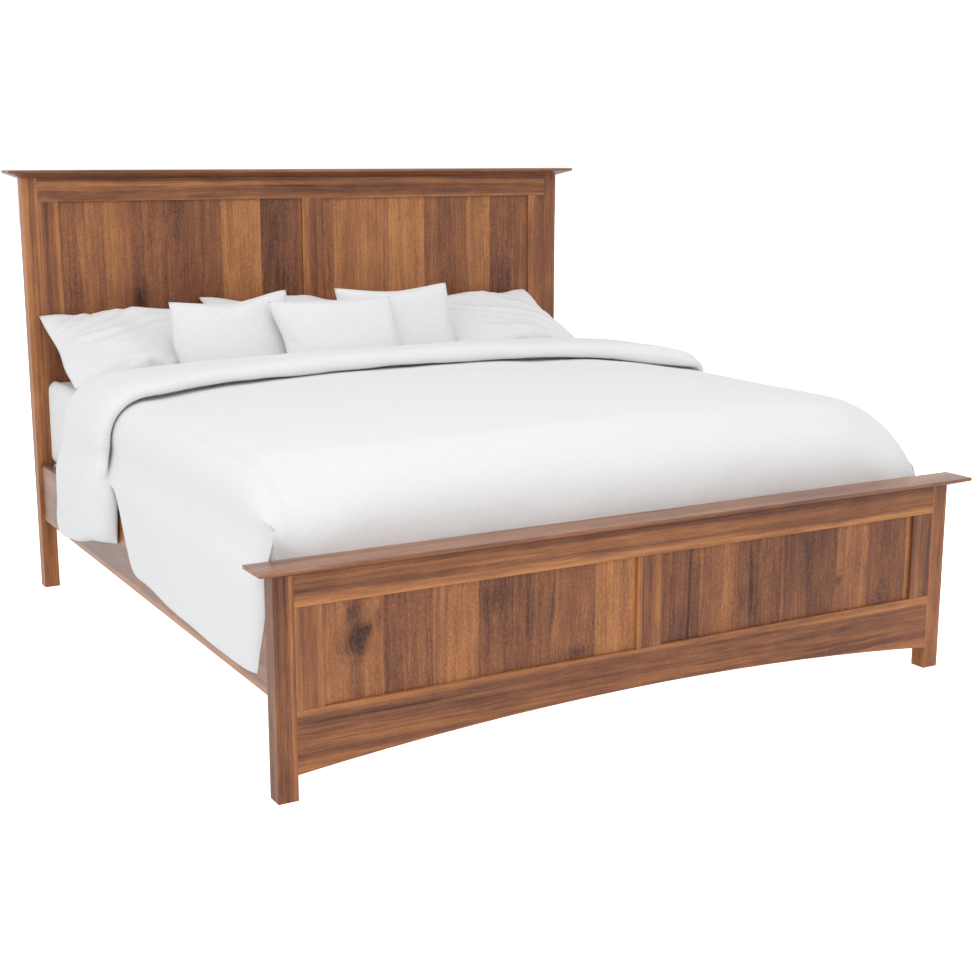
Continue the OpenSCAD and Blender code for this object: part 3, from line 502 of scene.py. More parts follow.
# %% Finishes of the base
LENGTHWISE = ("ledger_left", "ledger_right", "center_beam")
PINE_TONES = [(0.3, (0.50, 0.31, 0.15)), (0.55, (0.68, 0.47, 0.26)), (0.8, (0.76, 0.57, 0.35))]
ZINC_TONES = [(0.3, (0.42, 0.43, 0.45)), (0.7, (0.62, 0.63, 0.65))]
PINE_FINE, PINE_LONG = 70.0, 1.5


def pine(name, axis):
    """Pale pine with streaks along one axis."""
    material, tree, shader = new_material(name)
    place = put(tree, "ShaderNodeTexCoord").outputs["Object"]
    scale = [PINE_LONG if k == axis else PINE_FINE for k in range(3)]
    tone = cloudy(tree, vectors(tree, "MULTIPLY", place, scale))
    feed(tree, shader, Base_Color=ramp(tree, tone, PINE_TONES),
         Roughness=maths(tree, "MULTIPLY_ADD", tone, 0.2, 0.5))
    return material


def zinc():
    """Zinc-plated steel with a faintly mottled shine."""
    material, tree, shader = new_material("zinc")
    spots = cloudy(tree, put(tree, "ShaderNodeTexCoord").outputs["Object"], scale=120.0, detail=2.0)
    feed(tree, shader, Metallic=1, Base_Color=ramp(tree, spots, ZINC_TONES),
         Roughness=maths(tree, "MULTIPLY_ADD", spots, 0.25, 0.25))
    return material


slots = {part["node"]: part["material_slot"] for part in frame["record"]["subparts"]}
PINE = [pine("pine_across", 0), pine("pine_lengthwise", 1)]
ZINC = zinc()
for node, kind in slots.items():
    if kind in ("pine", "steel"):
        materials = frame["nodes"][node].data.materials
        materials.clear()
        materials.append(PINE[node in LENGTHWISE] if kind == "pine" else ZINC)
# The centre legs reuse the cap's bands, with their painted-sheen stop.
for side in ("front", "back"):
    dress("support_leg_" + side, "z", CAP_WITH_PAINTED_SHEEN)
print("base nodes finished:", sum(kind in ("pine", "steel") for kind in slots.values()))

# %% [markdown]
# ## Cotton
# The bedding is plain white cotton. Its weave is finer than a pixel, so what shows is a faint mottle
# and a slight fuzz. The group gives the mottle and a height for the bump. The quilt also has a sewn seam
# along either shoulder, whose puckers are a second bump.

# %% Cotton
THREADS = 900.0
SEAM_X = 0.948
SEAM_HEAD_Y, SEAM_FOOT_Y = -0.15, -0.45
SEAM_LOW_Z = 0.60
PUCKERS = 480.0


def make_weave():
    """Group: two crossed sets of threads and a cloudy mottle."""
    group, start, end = new_group("cotton weave", {"Vector": "Vector"},
                                  {"Mottle": "Float", "Height": "Float"})
    vector = start.outputs["Vector"]
    place = put(group, "ShaderNodeSeparateXYZ", Vector=vector).outputs
    waves = {axis: maths(group, "SINE", times(group, place[axis], THREADS)) for axis in "XYZ"}
    weave = times(group, maths(group, "ADD", waves["X"], waves["Z"]), waves["Y"])
    fuzz = cloudy(group, vector, scale=240.0)
    slubs = streaky(group, vector, 30.0, 160.0, detail=2.0)
    height = maths(group, "MULTIPLY_ADD", weave, 0.12, maths(group, "MULTIPLY_ADD", slubs, 0.5, fuzz))
    feed(group, end, Height=height, Mottle=cloudy(group, vector, scale=60.0, detail=5.0, roughness=0.7))
    return group


WEAVE = make_weave()


def seam_height(tree, place):
    """Puckers across the seams that run along the duvet's two shoulders."""
    axes = put(tree, "ShaderNodeSeparateXYZ", Vector=place).outputs
    away = maths(tree, "ABSOLUTE", maths(tree, "SUBTRACT", maths(tree, "ABSOLUTE", axes["X"]), SEAM_X))
    near = put(tree, "ShaderNodeMapRange", Value=away, From_Min=0.013, From_Max=0.004).outputs["Result"]
    length = put(tree, "ShaderNodeMapRange", Value=axes["Y"], From_Min=SEAM_HEAD_Y,
                 From_Max=SEAM_FOOT_Y).outputs["Result"]
    high = maths(tree, "GREATER_THAN", axes["Z"], SEAM_LOW_Z)
    drift = times(tree, cloudy(tree, place, scale=25.0), 14.0)
    turn = maths(tree, "MULTIPLY_ADD", maths(tree, "ADD", axes["X"], axes["Y"]), PUCKERS, drift)
    pucker = maths(tree, "MULTIPLY_ADD", maths(tree, "SINE", turn), 0.5, 1.2)
    return times(tree, near, length, high, pucker)


def cotton(name, light, dark, seams=False):
    """White cotton between two near whites."""
    material, tree, shader = new_material(name)
    place = put(tree, "ShaderNodeTexCoord").outputs["Object"]
    look = put(tree, "ShaderNodeGroup", {"node_tree": WEAVE}, Vector=place)
    bump = put(tree, "ShaderNodeBump", Height=look.outputs["Height"], Strength=0.35, Distance=0.0006)
    if seams:
        bump = put(tree, "ShaderNodeBump", Height=seam_height(tree, place), Strength=0.5, Distance=0.002,
                   Normal=bump.outputs["Normal"])
    feed(tree, shader, Base_Color=ramp(tree, look.outputs["Mottle"], [(0.35, dark), (0.65, light)]),
         Normal=bump.outputs["Normal"], Roughness=0.85, Specular_IOR_Level=0.2, Sheen_Weight=0.1,
         Sheen_Roughness=0.6)
    return material


DUVET_WHITES = (0.785, 0.795, 0.803), (0.76, 0.77, 0.78)
COTTON = cotton("white_cotton", *DUVET_WHITES)
QUILTING = cotton("white_quilt", *DUVET_WHITES, seams=True)
PILLOWCASE = cotton("white_pillowcase", (0.785, 0.79, 0.80), (0.755, 0.76, 0.77))
SHEET = cotton("white_sheet", (0.79, 0.79, 0.80), (0.76, 0.76, 0.77))
TICKING = cotton("foundation_cover", (0.74, 0.74, 0.74), (0.68, 0.68, 0.68))
print("cotton ready")

# %% [markdown]
# ## Soft pieces
# Cloth is never quite even. Three sizes of noise, from gentle hollows half a metre long down to small
# creases, are added along the surface's normals once a piece has its form.

# %% Helpers for soft pieces
BORDER_ROUNDS = 5


def smooth01(t):
    """Smooth step from 0 to 1."""
    t = min(1.0, max(0.0, t))
    return t * t * (3 - 2 * t)


def blend_points(points, t):
    """Place t, from 0 to 1, on a smooth curve through equally spaced rows of numbers."""
    t = min(1.0, max(0.0, t)) * (len(points) - 1)
    i = min(int(t), len(points) - 2)
    t -= i
    before, a, b, after = (points[min(len(points) - 1, max(0, i + k))] for k in (-1, 0, 1, 2))
    return [0.5 * (2 * p1 + (p2 - p0) * t + (2 * p0 - 5 * p1 + 4 * p2 - p3) * t * t
                   + (3 * p1 - p0 - 3 * p2 + p3) * t ** 3) for p0, p1, p2, p3 in zip(before, a, b, after)]


def noise_at(x, y, z):
    """Smooth noise, from about -1 to 1."""
    return noise.noise(Vector((x, y, z)))


def unevenness(place):
    """Height of the cloth's hollows and creases at a place, in metres."""
    x, y, z = place
    return (0.0075 * noise_at(x * 2.1, y * 2.4, z * 2.1 + 3.0)
            + 0.0032 * noise_at(x * 6.0, y * 5.0, z * 6.0 + 8.0)
            + 0.0010 * noise_at(x * 19.0, y * 17.0, z * 19.0))


def finish_soft(bm, name, material, slot_name, fill, levels, *nodes):
    for face in bm.faces:
        face.smooth = True
    mesh = to_mesh(bm, name)
    mesh.materials.append(material)
    piece = add_object(name, mesh)
    if levels:
        smoothing = piece.modifiers.new("smooth", "SUBSURF")
        smoothing.levels = smoothing.render_levels = levels
    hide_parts(*nodes)
    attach(piece, "bed")
    return piece


def two_sheets(columns, rows, place):
    """Outer and inner sheet on the same columns and rows, closed round their border and softened there.
    place(column, row, True) is a point of the outer sheet and place(column, row, False) of the inner one."""
    bm = bmesh.new()
    shown = bm.verts.layers.int.new("shown")
    last_column, last_row = len(columns) - 1, len(rows) - 1
    for outer in (True, False):
        made = bmesh.ops.create_grid(bm, x_segments=last_column, y_segments=last_row, size=1)["verts"]
        for vertex in made:
            column = round((vertex.co.x + 1) / 2 * last_column)
            row = round((vertex.co.y + 1) / 2 * last_row)
            vertex.co = place(columns[column], rows[row], outer)
            vertex[shown] = outer
    rim = [e for e in bm.edges if e.is_boundary]
    walls = bmesh.ops.bridge_loops(bm, edges=rim)["edges"]
    cut = bmesh.ops.subdivide_edges(bm, edges=walls, cuts=2)["geom_inner"]
    soft = {v for v in cut if isinstance(v, bmesh.types.BMVert)}
    for _ in range(2):
        soft |= {e.other_vert(v) for v in soft for e in v.link_edges}
    for _ in range(BORDER_ROUNDS):
        bmesh.ops.smooth_vert(bm, verts=list(soft), factor=0.5, use_axis_x=True, use_axis_y=True,
                              use_axis_z=True)
    bmesh.ops.recalc_face_normals(bm, faces=bm.faces)
    bm.normal_update()
    return bm, [v for v in bm.verts if v[shown]]


def ruffle(vertices, height):
    """Moves vertices along their normals by height(place)."""
    moves = [(v, v.normal * height(v.co)) for v in vertices]
    for vertex, move in moves:
        vertex.co += move


print("soft helpers ready")

# %% [markdown]
# ## Foundation and mattress
# Both are boxes with rounded edges. Only the mattress's head corner shows, beside the left pillow. A
# cube is scaled to the CAD box, its edges are bevelled, widely for the mattress and narrowly for the
# foundation's timber box, and the sheet over the mattress gets soft hollows. The mattress's foot corners
# are round in plan, where the tucked duvet pulls them in, so its upright edges are bevelled first.

# %% Foundation and mattress
FOOT_CORNER = 0.265
HEAD_CORNER = 0.03
UPRIGHT, LEVEL = 0.1, 0.01


def split(bm, low, high, cell):
    """Cuts a form by planes about a cell apart, which gives the noise vertices to move."""
    for axis in range(3):
        normal = Vector([float(k == axis) for k in range(3)])
        steps = int((high[axis] - low[axis]) / cell)
        for k in range(1, steps):
            point = normal * (low[axis] + (high[axis] - low[axis]) * k / steps)
            bmesh.ops.bisect_plane(bm, geom=bm.verts[:] + bm.edges[:] + bm.faces[:], plane_co=point,
                                   plane_no=normal, dist=1e-5)


def soft_box(name, node, edge, segments, material, slot_name, cell=0.0, height=None, foot_corner=0.0):
    """A box that fills a CAD node's box, with rounded edges and, if wished, wide corners at the foot end."""
    low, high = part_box(node)
    bm = bmesh.new()
    bmesh.ops.create_cube(bm, size=1)
    bmesh.ops.scale(bm, verts=bm.verts, vec=high - low)
    bmesh.ops.translate(bm, verts=bm.verts, vec=(high + low) / 2)
    rims = bm.edges[:]
    if foot_corner:
        upright = [e for e in rims if abs(e.verts[0].co.z - e.verts[1].co.z) > UPRIGHT]
        for radius, chosen in ((foot_corner, [e for e in upright if e.verts[0].co.y < 0]),
                               (HEAD_CORNER, [e for e in upright if e.verts[0].co.y > 0])):
            round_edges(bm, chosen, radius, 12)
        rims = [e for e in bm.edges if abs(e.verts[0].co.z - e.verts[1].co.z) < LEVEL]
    round_edges(bm, rims, edge, segments)
    if cell:
        split(bm, low, high, cell)
    bmesh.ops.recalc_face_normals(bm, faces=bm.faces)
    bm.normal_update()
    if height:
        ruffle(bm.verts[:], height)
    finish_soft(bm, name, material, slot_name, 1.0, 0, node)


def mattress_form(place):
    """The sheet's hollows, sides as full as the cover allows and foot corners pressed down by the duvet."""
    corner = smooth01((abs(place.x) - 0.50) / 0.2) * smooth01((-0.57 - place.y) / 0.2)
    return 0.5 * unevenness(place) - 0.002 + 0.008 * smooth01((abs(place.x) - 0.93) / 0.02) - 0.045 * corner


soft_box("foundation_box", "foundation", 0.012, 4, TICKING, "foundation_cover")
soft_box("mattress_block", "mattress", 0.060, 8, SHEET, "mattress_cover", cell=0.06, height=mattress_form,
         foot_corner=FOOT_CORNER)

# %% [markdown]
# ## Duvet
# The duvet covers the mattress, hangs over both side rails and is tucked in behind the footboard. Its
# head end is turned back as a thick band. In the CAD model it is one solid; here the quilt and the
# turned-back band are two pieces, so that the band keeps its rolled edge and the dark line under it. A
# place on the duvet is given by s, the distance from the bed's middle line over the mattress top and down
# its side, and by how far along the bed it lies. The left side is side -1 and the right one side 1: the
# photograph shows them hanging differently.

# %% Duvet measures
# The mattress that carries it, with the head end and the footboard's inner face
MATTRESS_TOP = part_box("mattress")[1].z
HEAD_Y = 1.045
FOOT_BACK = -1.005
RAIL_TOP = 0.426
# The underside's section: flat top, rounded shoulder, side that leans out over the rail
SHOULDER = 0.065
COVER_X = 0.968
COVER_Z = MATTRESS_TOP + 0.0006
FLAT_S = COVER_X - SHOULDER
SIDE_S = FLAT_S + SHOULDER * math.pi / 2
SIDE_Z = COVER_Z - SHOULDER
DRAPE_X = 1.0035
# The turned-back band and the hem
FOLD_Y = 0.4164
BAND_W = 0.210
BAND_H = 0.053
HEM_Z = 0.284
EARLY_TURN = 0.060
# The foot end: where the outer and inner sheet end, how far they go down, how loose the right side is
OUTER_END, INNER_END = -0.999, -0.993
FOOT_DROP = 0.235
RIGHT_SLACK = 0.09


def under(s):
    """Place and outward direction of the underside at s."""
    if s < FLAT_S:
        return s, COVER_Z, 0.0, 1.0
    if s < SIDE_S:
        a = (s - FLAT_S) / SHOULDER
        return FLAT_S + SHOULDER * math.sin(a), SIDE_Z + SHOULDER * math.cos(a), math.sin(a), math.cos(a)
    d = s - SIDE_S
    return COVER_X + (DRAPE_X - COVER_X) * smooth01(d / (SIDE_Z - RAIL_TOP - 0.07)), SIDE_Z - d, 1.0, 0.0


def fold_line(s):
    """Head edge of the band."""
    return FOLD_Y + 0.15 * (min(s, SIDE_S) / SIDE_S) ** 2 + 0.20 * max(0, s - SIDE_S)


def band_line(s, side):
    """Foot edge of the band; on the right it swings further to the foot before it turns down."""
    if side < 0:
        return (FOLD_Y - BAND_W - 0.052 * smooth01((s - 0.66) / 0.2) - 0.020 * smooth01((s - SIDE_S) / 0.1)
                + 0.02 * math.exp(-((s - 1.045) / 0.03) ** 2))
    x = min(s, FLAT_S) / FLAT_S
    turn = smooth01((s - FLAT_S + EARLY_TURN) / 0.2)
    return FOLD_Y - BAND_W - 0.26 * x ** 8 + 0.19 * turn + 0.2 * max(0, s - SIDE_S - 0.095)


def main_hem(y):
    """Height of the quilt's hem, which climbs towards the head end."""
    return (HEM_Z + 0.014 * smooth01((y + 0.50) / 0.30) - 0.012 * smooth01((FOOT_BACK + 0.5 - y) / 0.25)
            + 0.225 * smooth01((y + 0.04) / 0.16))


def band_hem(q):
    """Height of the band's hem, q from its foot edge to its head edge."""
    return HEM_Z - 0.008 + 0.076 * (1 - min(1, max(0, q))) ** 1.2


def filling(s, side):
    """Thickness of the quilt: fullest in the middle, a little flatter near the right shoulder."""
    lift = 0.054 * (0.39 * smooth01((SIDE_S + 0.08 - s) / 0.16) + 0.61 * (1 - (min(s, FLAT_S) / FLAT_S) ** 2))
    return 0.026 + lift - (0.010 * smooth01((s - 0.6) / 0.28) if side > 0 else 0)


def band_height(s, side):
    """Height of the band over the quilt; it is slimmer over the right shoulder."""
    slim = 0.25 * smooth01((s - 0.85) / 0.1) * (1 - smooth01((s - SIDE_S - 0.06) / 0.14))
    return BAND_H * (1 - slim if side > 0 else 1)


def corner_back(s):
    """How far the mattress's rounded corner draws back at s."""
    d = max(0, min(s, FLAT_S) - 0.7)
    return FOOT_CORNER - math.sqrt(FOOT_CORNER ** 2 - d * d)


def share_down(s, side):
    """Share of the foot end's drop at s: all of it in front, none at the sides. The fold lies between."""
    return 1 - smooth01((s - FLAT_S) / 0.12 if side < 0 else (s - FLAT_S - 0.05) / 0.12)


def foot_turn(p, s, side, top):
    """Place and drop of the foot end's rounding: p is 1 on the flat, 0 at the end and -1 tucked in. In front
    the cloth goes down behind the footboard; at the sides it ends in an upright edge, and between the two
    a curtain of cloth closes the corner."""
    slack = RIGHT_SLACK if side > 0 else 0
    share_y = 1 - smooth01((s - FLAT_S + 0.03) / (SIDE_S - FLAT_S + 0.08))
    share_z = share_down(s, side)
    curtain = (1 - share_z) * (1 - smooth01((s - SIDE_S - (0.03 if side < 0 else 0.06)) / 0.07))
    corner = smooth01((s - 0.69) / 0.25)
    a = math.pi / 2 * (1 - min(1, max(0, p)))
    tuck = min(1, max(0, -p))
    inner = corner if side > 0 else 0
    r_y = 0.13 + (0.13 + slack) * corner if top else 0.1224 + (0.13 + slack) * inner
    r_z = 0.15 + (0.04 + 0.35 * slack) * corner if top else 0.068 + 0.10 * inner
    y = (OUTER_END if top else INNER_END + 0.55 * corner_back(s)) + r_y * (1 - math.sin(a))
    if side < 0:
        y_side = -0.995 + 0.075 * smooth01((s - SIDE_S - 0.14) / 0.28)
    else:
        y_side = FOOT_BACK + 0.04 + 0.3 * slack
    y_side += r_y * (1 - math.sin(a)) + 0.004 * (1 - tuck) + (0 if top else 0.004)
    back = 0.022 * curtain * smooth01(4 * tuck)
    drop = share_z * (r_z * (1 - math.cos(a)) + (FOOT_DROP - r_z) * tuck) + curtain * FOOT_DROP * tuck
    return share_y * y + (1 - share_y) * y_side + back, drop


def edge_roll(y, s, side):
    """Share of the thickness at y. It goes to nothing where the side's front edge rolls round the corner."""
    away = (y - foot_turn(0, s, side, True)[0] + 0.006) / (0.08 if side < 0 else 0.05)
    away = min(1, max(0, away))
    return 1 - (1 - share_down(s, side)) * (1 - math.sqrt(1 - (1 - away) ** 2))


print("side begins at s", round(SIDE_S, 4))

# %% [markdown]
# The quilt is two sheets on one grid, the outer one lifted by the filling. Its columns run from the left
# hem over the top to the right hem, and its rows from the tucked foot end to a hidden end under the band.

# %% Quilt
TOP_COLUMNS, HANG = 44, 17
TUCK_ROWS, TURN_ROWS, FLAT_ROWS, HIDDEN_ROWS = 7, 11, 46, 10
HEM_EXTRA = 0.006


def columns_across():
    """Columns from hem to hem: the side, the place on top, and the share of the hanging part."""
    half = [(SIDE_S * k / TOP_COLUMNS, 0.0) for k in range(TOP_COLUMNS + 1)]
    half += [(SIDE_S, k / HANG) for k in range(1, HANG + 1)]
    return [(-1, *c) for c in reversed(half[1:])] + [(1, *c) for c in half]


def quilt_place(column, p, top):
    """One point of the quilt: p from -1 to 1 at the foot end, to 2 along the top, to 3 under the band."""
    side, s_top, hang = column

    def y_at(s):
        if p <= 1:
            return foot_turn(p, s, side, top)[0]
        edge = band_line(s, side)
        if p <= 2:
            start = foot_turn(1, s, side, top)[0]
            return start + (edge - start) * (p - 1)
        return edge + (fold_line(s) - edge) * 0.8 * (p - 2)

    s = s_top + hang * (SIDE_Z - main_hem(y_at(s_top)) + HEM_EXTRA)
    x, z, nx, nz = under(s)
    n = filling(s, side) if top else 0.001
    drop = 0
    if p <= 1:
        least = (-0.012 if side < 0 else 0.004) - (0 if top else 0.006)
        n = least + (n - least) * edge_roll(y_at(s), s, side)
        drop = foot_turn(p, s, side, top)[1]
    return Vector((side * (x + n * nx), y_at(s), z + n * nz - drop))


def make_cover(name, material, rows, place, fill):
    """A padded part of the duvet from its two sheets, with the cloth's unevenness outside."""
    bm, outside = two_sheets(columns_across(), rows, place)
    ruffle(outside, unevenness)
    piece = finish_soft(bm, name, material, "duvet_cover", fill, 1, "duvet")
    print(name, "vertices:", len(piece.data.vertices))


QUILT_ROWS = ([-1 + k / TUCK_ROWS for k in range(TUCK_ROWS)] + [k / TURN_ROWS for k in range(TURN_ROWS)]
              + [1 + k / FLAT_ROWS for k in range(FLAT_ROWS)]
              + [2 + k / HIDDEN_ROWS for k in range(HIDDEN_ROWS + 1)])
make_cover("duvet_quilt", QUILTING, QUILT_ROWS, quilt_place, 0.5)

# %% [markdown]
# The band's section is a smooth curve through a few points: from a hidden start inside the quilt, round
# the rolled foot edge, over the top and down at the head end to the mattress. Where the band hangs, the
# rolled edge gives way to a plain round one.

# %% Band
# Share of the width, metres beyond it, height in band heights over the quilt, share of the way down to
# the mattress
BAND = [(0.12, 0.004, -0.12, 0), (0, 0.068, -0.10, 0), (0, 0.052, 0.04, 0), (0, 0.026, 0.11, 0),
        (0, 0.004, 0.17, 0), (0, -0.006, 0.40, 0), (0, -0.002, 0.72, 0), (0.04, 0.004, 0.92, 0),
        (0.14, 0, 1.03, 0), (0.32, 0, 1.06, 0), (0.55, 0, 1.05, 0), (0.76, 0, 0.99, 0), (0.90, 0, 0.84, 0.04),
        (0.97, 0, 0.60, 0.18), (1.0, 0, 0.34, 0.5), (1.0, -0.004, 0.12, 0.85), (0.97, 0, 0.0, 1.0)]
BAND_ROWS = 34
ROUND_SHARE, ROUND_HEIGHT = 0.30, 1.06


def band_place(column, t, top):
    """One point of the band: t from 0 to 1 along its section."""
    side, s_top, hang = column
    q, extra, lift, down = blend_points(BAND, t) if top else (0.10 + 0.87 * t, 0.004 * (1 - t), 0, 0)
    s = s_top + hang * (SIDE_Z - band_hem(q) + HEM_EXTRA)
    x, z, nx, nz = under(s)
    n = 0.0
    if top:
        gap = 0.10 * noise_at(side * s * 7.0, 1.0, 4.0) * (1 - min(1, t * 4))
        n = filling(s, side if q < 0.05 else -1) * (1 - down) + band_height(s, side) * (lift + gap)
        hanging = smooth01((s - SIDE_S - 0.02) / 0.14)
        turn = 0.9 * math.pi * t
        if turn < math.pi / 2:
            full = filling(s, -1) + ROUND_HEIGHT * band_height(s, side)
            n += hanging * (full * math.sin(turn) - n)
            q += hanging * (ROUND_SHARE * (1 - math.cos(turn)) - q)
        extra *= 1 - hanging
        extra += 0.018 * noise_at(side * s * 6.0, 2.0, 0.0) + 0.008 * noise_at(side * s * 15.0, 5.0, 0.0)
        n = max(n, 0.0005)
    else:
        extra = 0
    edge = band_line(s, side)
    return Vector((side * (x + n * nx), edge + q * (fold_line(s) - edge) + extra, z + n * nz))


make_cover("duvet_band", COTTON, [k / BAND_ROWS for k in range(BAND_ROWS + 1)], band_place, 0.6)

# %% [markdown]
# ## Pillows and cushions
# A pillow is two panels of cloth sewn round the edge and filled. Both panels are grids whose borders
# merge into the seam, and a short cloth simulation with pressure blows the case up, so that it pulls
# in between its corners and puckers along the seam as a real one does. The result is fitted to the CAD
# pillow's size.

# %% Pillow cases
PUFF = 0.61
PRESSURE = 1.0
START_DOME = 0.02


def sewn_case(name, w, l, cell, dome):
    """Two grids merged at the seam, with the seam's edges marked."""
    bm = bmesh.new()
    for face in (1, -1):
        made = bmesh.ops.create_grid(bm, x_segments=round(w / cell), y_segments=round(l / cell), size=1)
        for vertex in made["verts"]:
            u, v = vertex.co.x, vertex.co.y
            vertex.co = (w / 2 * u, l / 2 * v, face * dome * (max(0, (1 - u ** 4) * (1 - v ** 4))) ** PUFF)
    for edge in bm.edges:
        edge.seam = edge.is_boundary
    bmesh.ops.remove_doubles(bm, verts=bm.verts, dist=1e-5)
    bmesh.ops.recalc_face_normals(bm, faces=bm.faces)
    return to_mesh(bm, name)


def filled(name, w, l, t, cell, frames):
    """A case blown up by cloth simulation and fitted to width, length and thickness."""
    mesh = sewn_case(name, w, l, cell, START_DOME)
    case = add_object(name, mesh)
    cloth = case.modifiers.new("filling", "CLOTH")
    set_all(cloth.settings, quality=5, mass=0.15, tension_stiffness=12, compression_stiffness=12,
            shear_stiffness=5, bending_stiffness=0.8, use_pressure=True, uniform_pressure_force=PRESSURE)
    cloth.settings.effector_weights.gravity = 0
    cloth.point_cache.frame_end = frames
    for step in range(1, frames + 1):
        scene.frame_set(step)
    mesh = bpy.data.meshes.new_from_object(case.evaluated_get(bpy.context.evaluated_depsgraph_get()))
    bpy.data.objects.remove(case)
    scene.frame_set(1)
    corners = [[f(v.co[k] for v in mesh.vertices) for k in range(3)] for f in (min, max)]
    middle = [(a + b) / 2 for a, b in zip(*corners)]
    size = [b - a for a, b in zip(*corners)]
    print(name, "filled to", [round(c, 3) for c in size])
    fit = Matrix.Diagonal((w / size[0], l / size[1], t / size[2], 1))
    mesh.transform(fit @ Matrix.Translation([-c for c in middle]))
    return mesh


PILLOW = (0.575, 0.440, 0.140)
CUSHION = (0.410, 0.305, 0.086)
SLEEPING = filled("sleeping_case", *PILLOW, cell=0.0145, frames=16)
SMALL = filled("cushion_case", *CUSHION, cell=0.0115, frames=15)

# %% [markdown]
# Each pillow is a copy of its filled case with creases of its own. It leans at an angle, rests on the
# mattress by its lowest point, and its corners are pulled a little to where the photograph shows them.
# The cushions have a thin sewn edge round the seam.

# %% Pillows
SEAM_HALF = 0.003
CLEARANCE = 0.0004
PULL_WIDTH, PULL_LENGTH = 0.20, 0.16
PIPING = 0.0018


def creases(place, seed, slant, height):
    """Soft folds that run across a pillow at a slant."""
    x, y, z = place
    a = x * math.cos(slant) + y * math.sin(slant)
    b = y * math.cos(slant) - x * math.sin(slant)
    bent = b + 0.05 * noise_at(a * 5.0, b * 4.0, seed)
    ridge = 1 - abs(noise_at(a * 2.2, bent * 24.0, seed + 4.0)) * 2.4
    soft = noise_at(x * 6.0, y * 6.0, seed + 9.0)
    return height * (max(0.0, ridge) ** 2 * 0.8 + soft * 0.8 - 0.3)


def make_pillow(name, mesh, place, seed, slant, height, pulls, piping=False):
    """A filled case with its creases, put in its place. A pull is a place on the case, from -1 to 1 each
    way, and how far it is moved along the bed's axes."""
    bm = bmesh.new()
    bm.from_mesh(mesh)
    w, l = (max(v.co[k] for v in bm.verts) for k in range(2))
    bm.normal_update()
    seam = {v for e in bm.edges if e.seam for v in e.verts}
    ruffle([v for v in bm.verts if v not in seam], lambda c: creases(c, seed, slant, height)
           * (1 - (c.x / w) ** 4) * (1 - (c.y / l) ** 4))
    crease = bm.edges.layers.float.new("crease_edge")
    for edge in bm.edges:
        edge[crease] = 1.0 if edge.seam else 0.0
    for vertex in bm.verts:
        move = Vector((0, 0, 0))
        for side, end, shift in pulls:
            away = Vector(((vertex.co.x - side * w) / PULL_WIDTH, (vertex.co.y - end * l) / PULL_LENGTH, 0))
            move += Vector(shift) * (1 - smooth01(away.length))
        vertex.co = place @ vertex.co + move
    if piping:
        add_piping(bm, name)
    finish_soft(bm, name + "_soft", PILLOWCASE, "pillow_cover", 0.7, 1, name)


def add_piping(bm, name):
    """A thin sewn edge along the seam: a round curve made into a mesh."""
    first, *edges = [e for e in bm.edges if e.seam]
    edges = set(edges)
    ring = [first.verts[0], first.verts[1]]
    while edges:
        step = next(e for e in ring[-1].link_edges if e in edges)
        edges.remove(step)
        ring.append(step.other_vert(ring[-1]))
    curve = bpy.data.curves.new(name + "_edge", "CURVE")
    set_all(curve, dimensions="3D", bevel_depth=PIPING, bevel_resolution=2)
    line = curve.splines.new("POLY")
    points = ring[:-1]
    line.points.add(len(points) - 1)
    for point, vertex in zip(line.points, points):
        point.co = (*vertex.co, 1)
    line.use_cyclic_u = True
    helper = bpy.data.objects.new(name + "_edge", curve)
    mesh = bpy.data.meshes.new_from_object(helper)
    bpy.data.objects.remove(helper)
    edge_bm = bmesh.new()
    edge_bm.from_mesh(mesh)
    finish_soft(edge_bm, name + "_piping", PILLOWCASE, "pillow_cover", 1.0, 0, name)


def pillow_half(t, v):
    """Half thickness of the CAD pillow on its middle line, v from 0 to 1 towards its edge."""
    return SEAM_HALF + (t - 2 * SEAM_HALF) / 2 * (1 - v ** 4) ** PUFF


def rest_height(l, t, tilt, pull):
    """Height of a tilted pillow's middle over what it lies on."""
    sine, cosine = math.sin(tilt), math.cos(tilt)
    return CLEARANCE + max(max(l / 2 * v * (1 - pull * v) * sine + pillow_half(t, v) * cosine,
                               l / 2 * v * sine + SEAM_HALF * cosine) for v in (k * 0.05 for k in range(21)))


def placed(x, y, z, tilt, turn=0.0):
    """Matrix that tilts about X, turns about Z and moves."""
    return Matrix.Translation((x, y, z)) @ Matrix.Rotation(turn, 4, "Z") @ Matrix.Rotation(tilt, 4, "X")


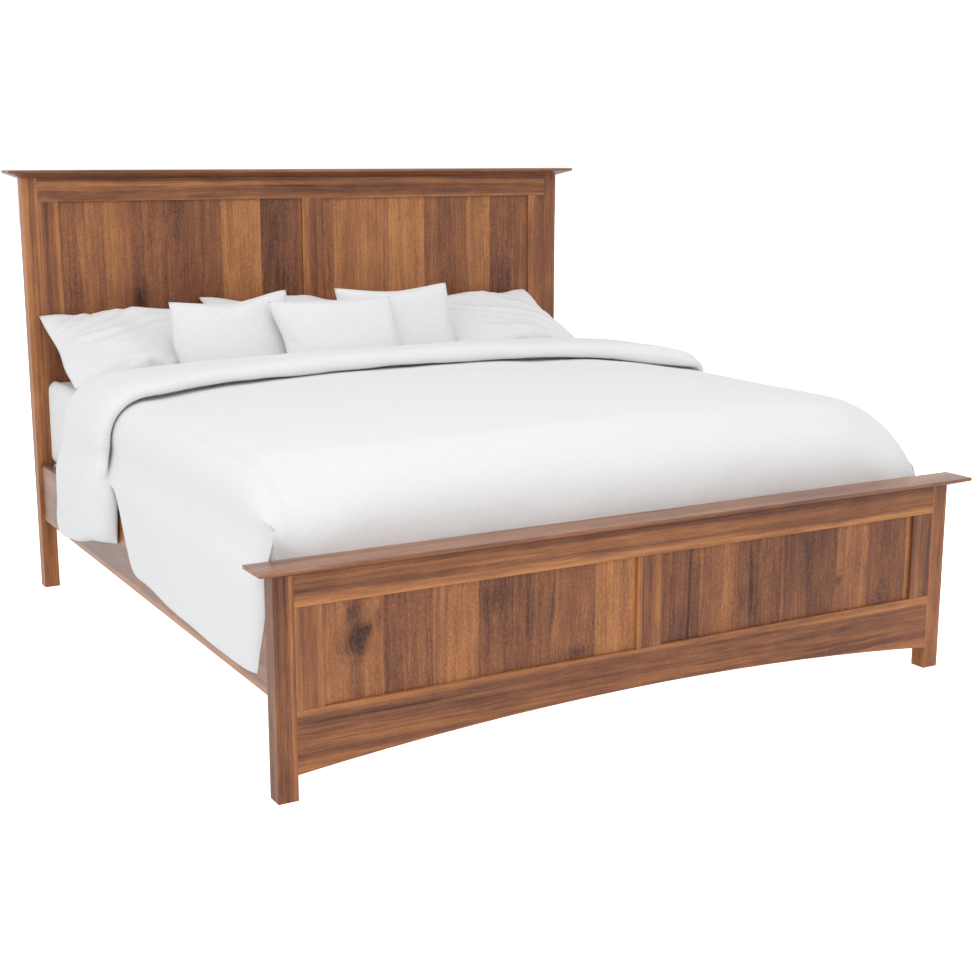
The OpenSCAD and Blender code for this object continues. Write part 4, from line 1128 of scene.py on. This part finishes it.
# Place along X, turn in degrees, seed, slant and height of the creases, pulls
PILLOW_TILT = math.radians(24)
PILLOWS = [("pillow_left", -0.6975, -3, 1.3, 0.45, 0.0230,
            [(-1, 1, (-.008, 0, .014)), (-1, 0, (.008, 0, 0)), (-1, -1, (.014, 0, 0))]),
           ("pillow_center", -0.1025, 0, 5.1, 0.2, 0.0060,
            [(-1, 1, (-.045, 0, .052)), (0, 1, (0, 0, .034)), (1, 1, (0, 0, .018))]),
           ("pillow_right", 0.6175, 6, 8.7, -0.45, 0.0180,
            [(-1, 1, (0, 0, .018)), (0, 1, (0, 0, .018)), (1, 1, (-.012, 0, .027)), (1, 0, (-.008, 0, 0))])]
for name, x, turn, seed, slant, height, pulls in PILLOWS:
    turn = math.radians(turn)
    back = PILLOW[1] / 2 * math.cos(PILLOW_TILT) + PILLOW[0] / 2 * math.sin(abs(turn)) + SEAM_HALF
    up = rest_height(PILLOW[1], PILLOW[2], PILLOW_TILT, 0.12)
    spot = placed(x, HEAD_Y - back, MATTRESS_TOP + up, PILLOW_TILT, turn)
    make_pillow(name, SLEEPING, spot, seed, slant, height, pulls)

# Place along X, distance of the bottom edge from the head end, tilt in degrees, seed, pulls
BACK_BOTTOM, FRONT_BOTTOM = 0.4928, 0.5908
CUSHIONS = [("cushion_left", -0.462, BACK_BOTTOM, 64, 2.2,
             [(1, 1, (0, 0, .020)), (0, 1, (0, 0, -.010)), (-1, 1, (.013, 0, -.003)),
              (-1, -1, (.034, 0, 0))]),
            ("cushion_center", -0.1217, FRONT_BOTTOM, 61, 3.6, [(-1, 1, (-.023, 0, 0))]),
            ("cushion_right", 0.1325, BACK_BOTTOM, 64, 6.9,
             [(-1, 1, (-.006, 0, .018)), (0, 1, (0, 0, .006)), (1, 1, (.003, 0, .021))])]
for name, x, bottom, tilt, seed, pulls in CUSHIONS:
    tilt = math.radians(tilt)
    y = HEAD_Y - bottom + CUSHION[1] / 2 * math.cos(tilt)
    z = MATTRESS_TOP + rest_height(CUSHION[1], CUSHION[2], tilt, 0.05)
    make_pillow(name, SMALL, placed(x, y, z, tilt), seed, 0.5, 0.0018, pulls, piping=True)
print("pillows and cushions made")
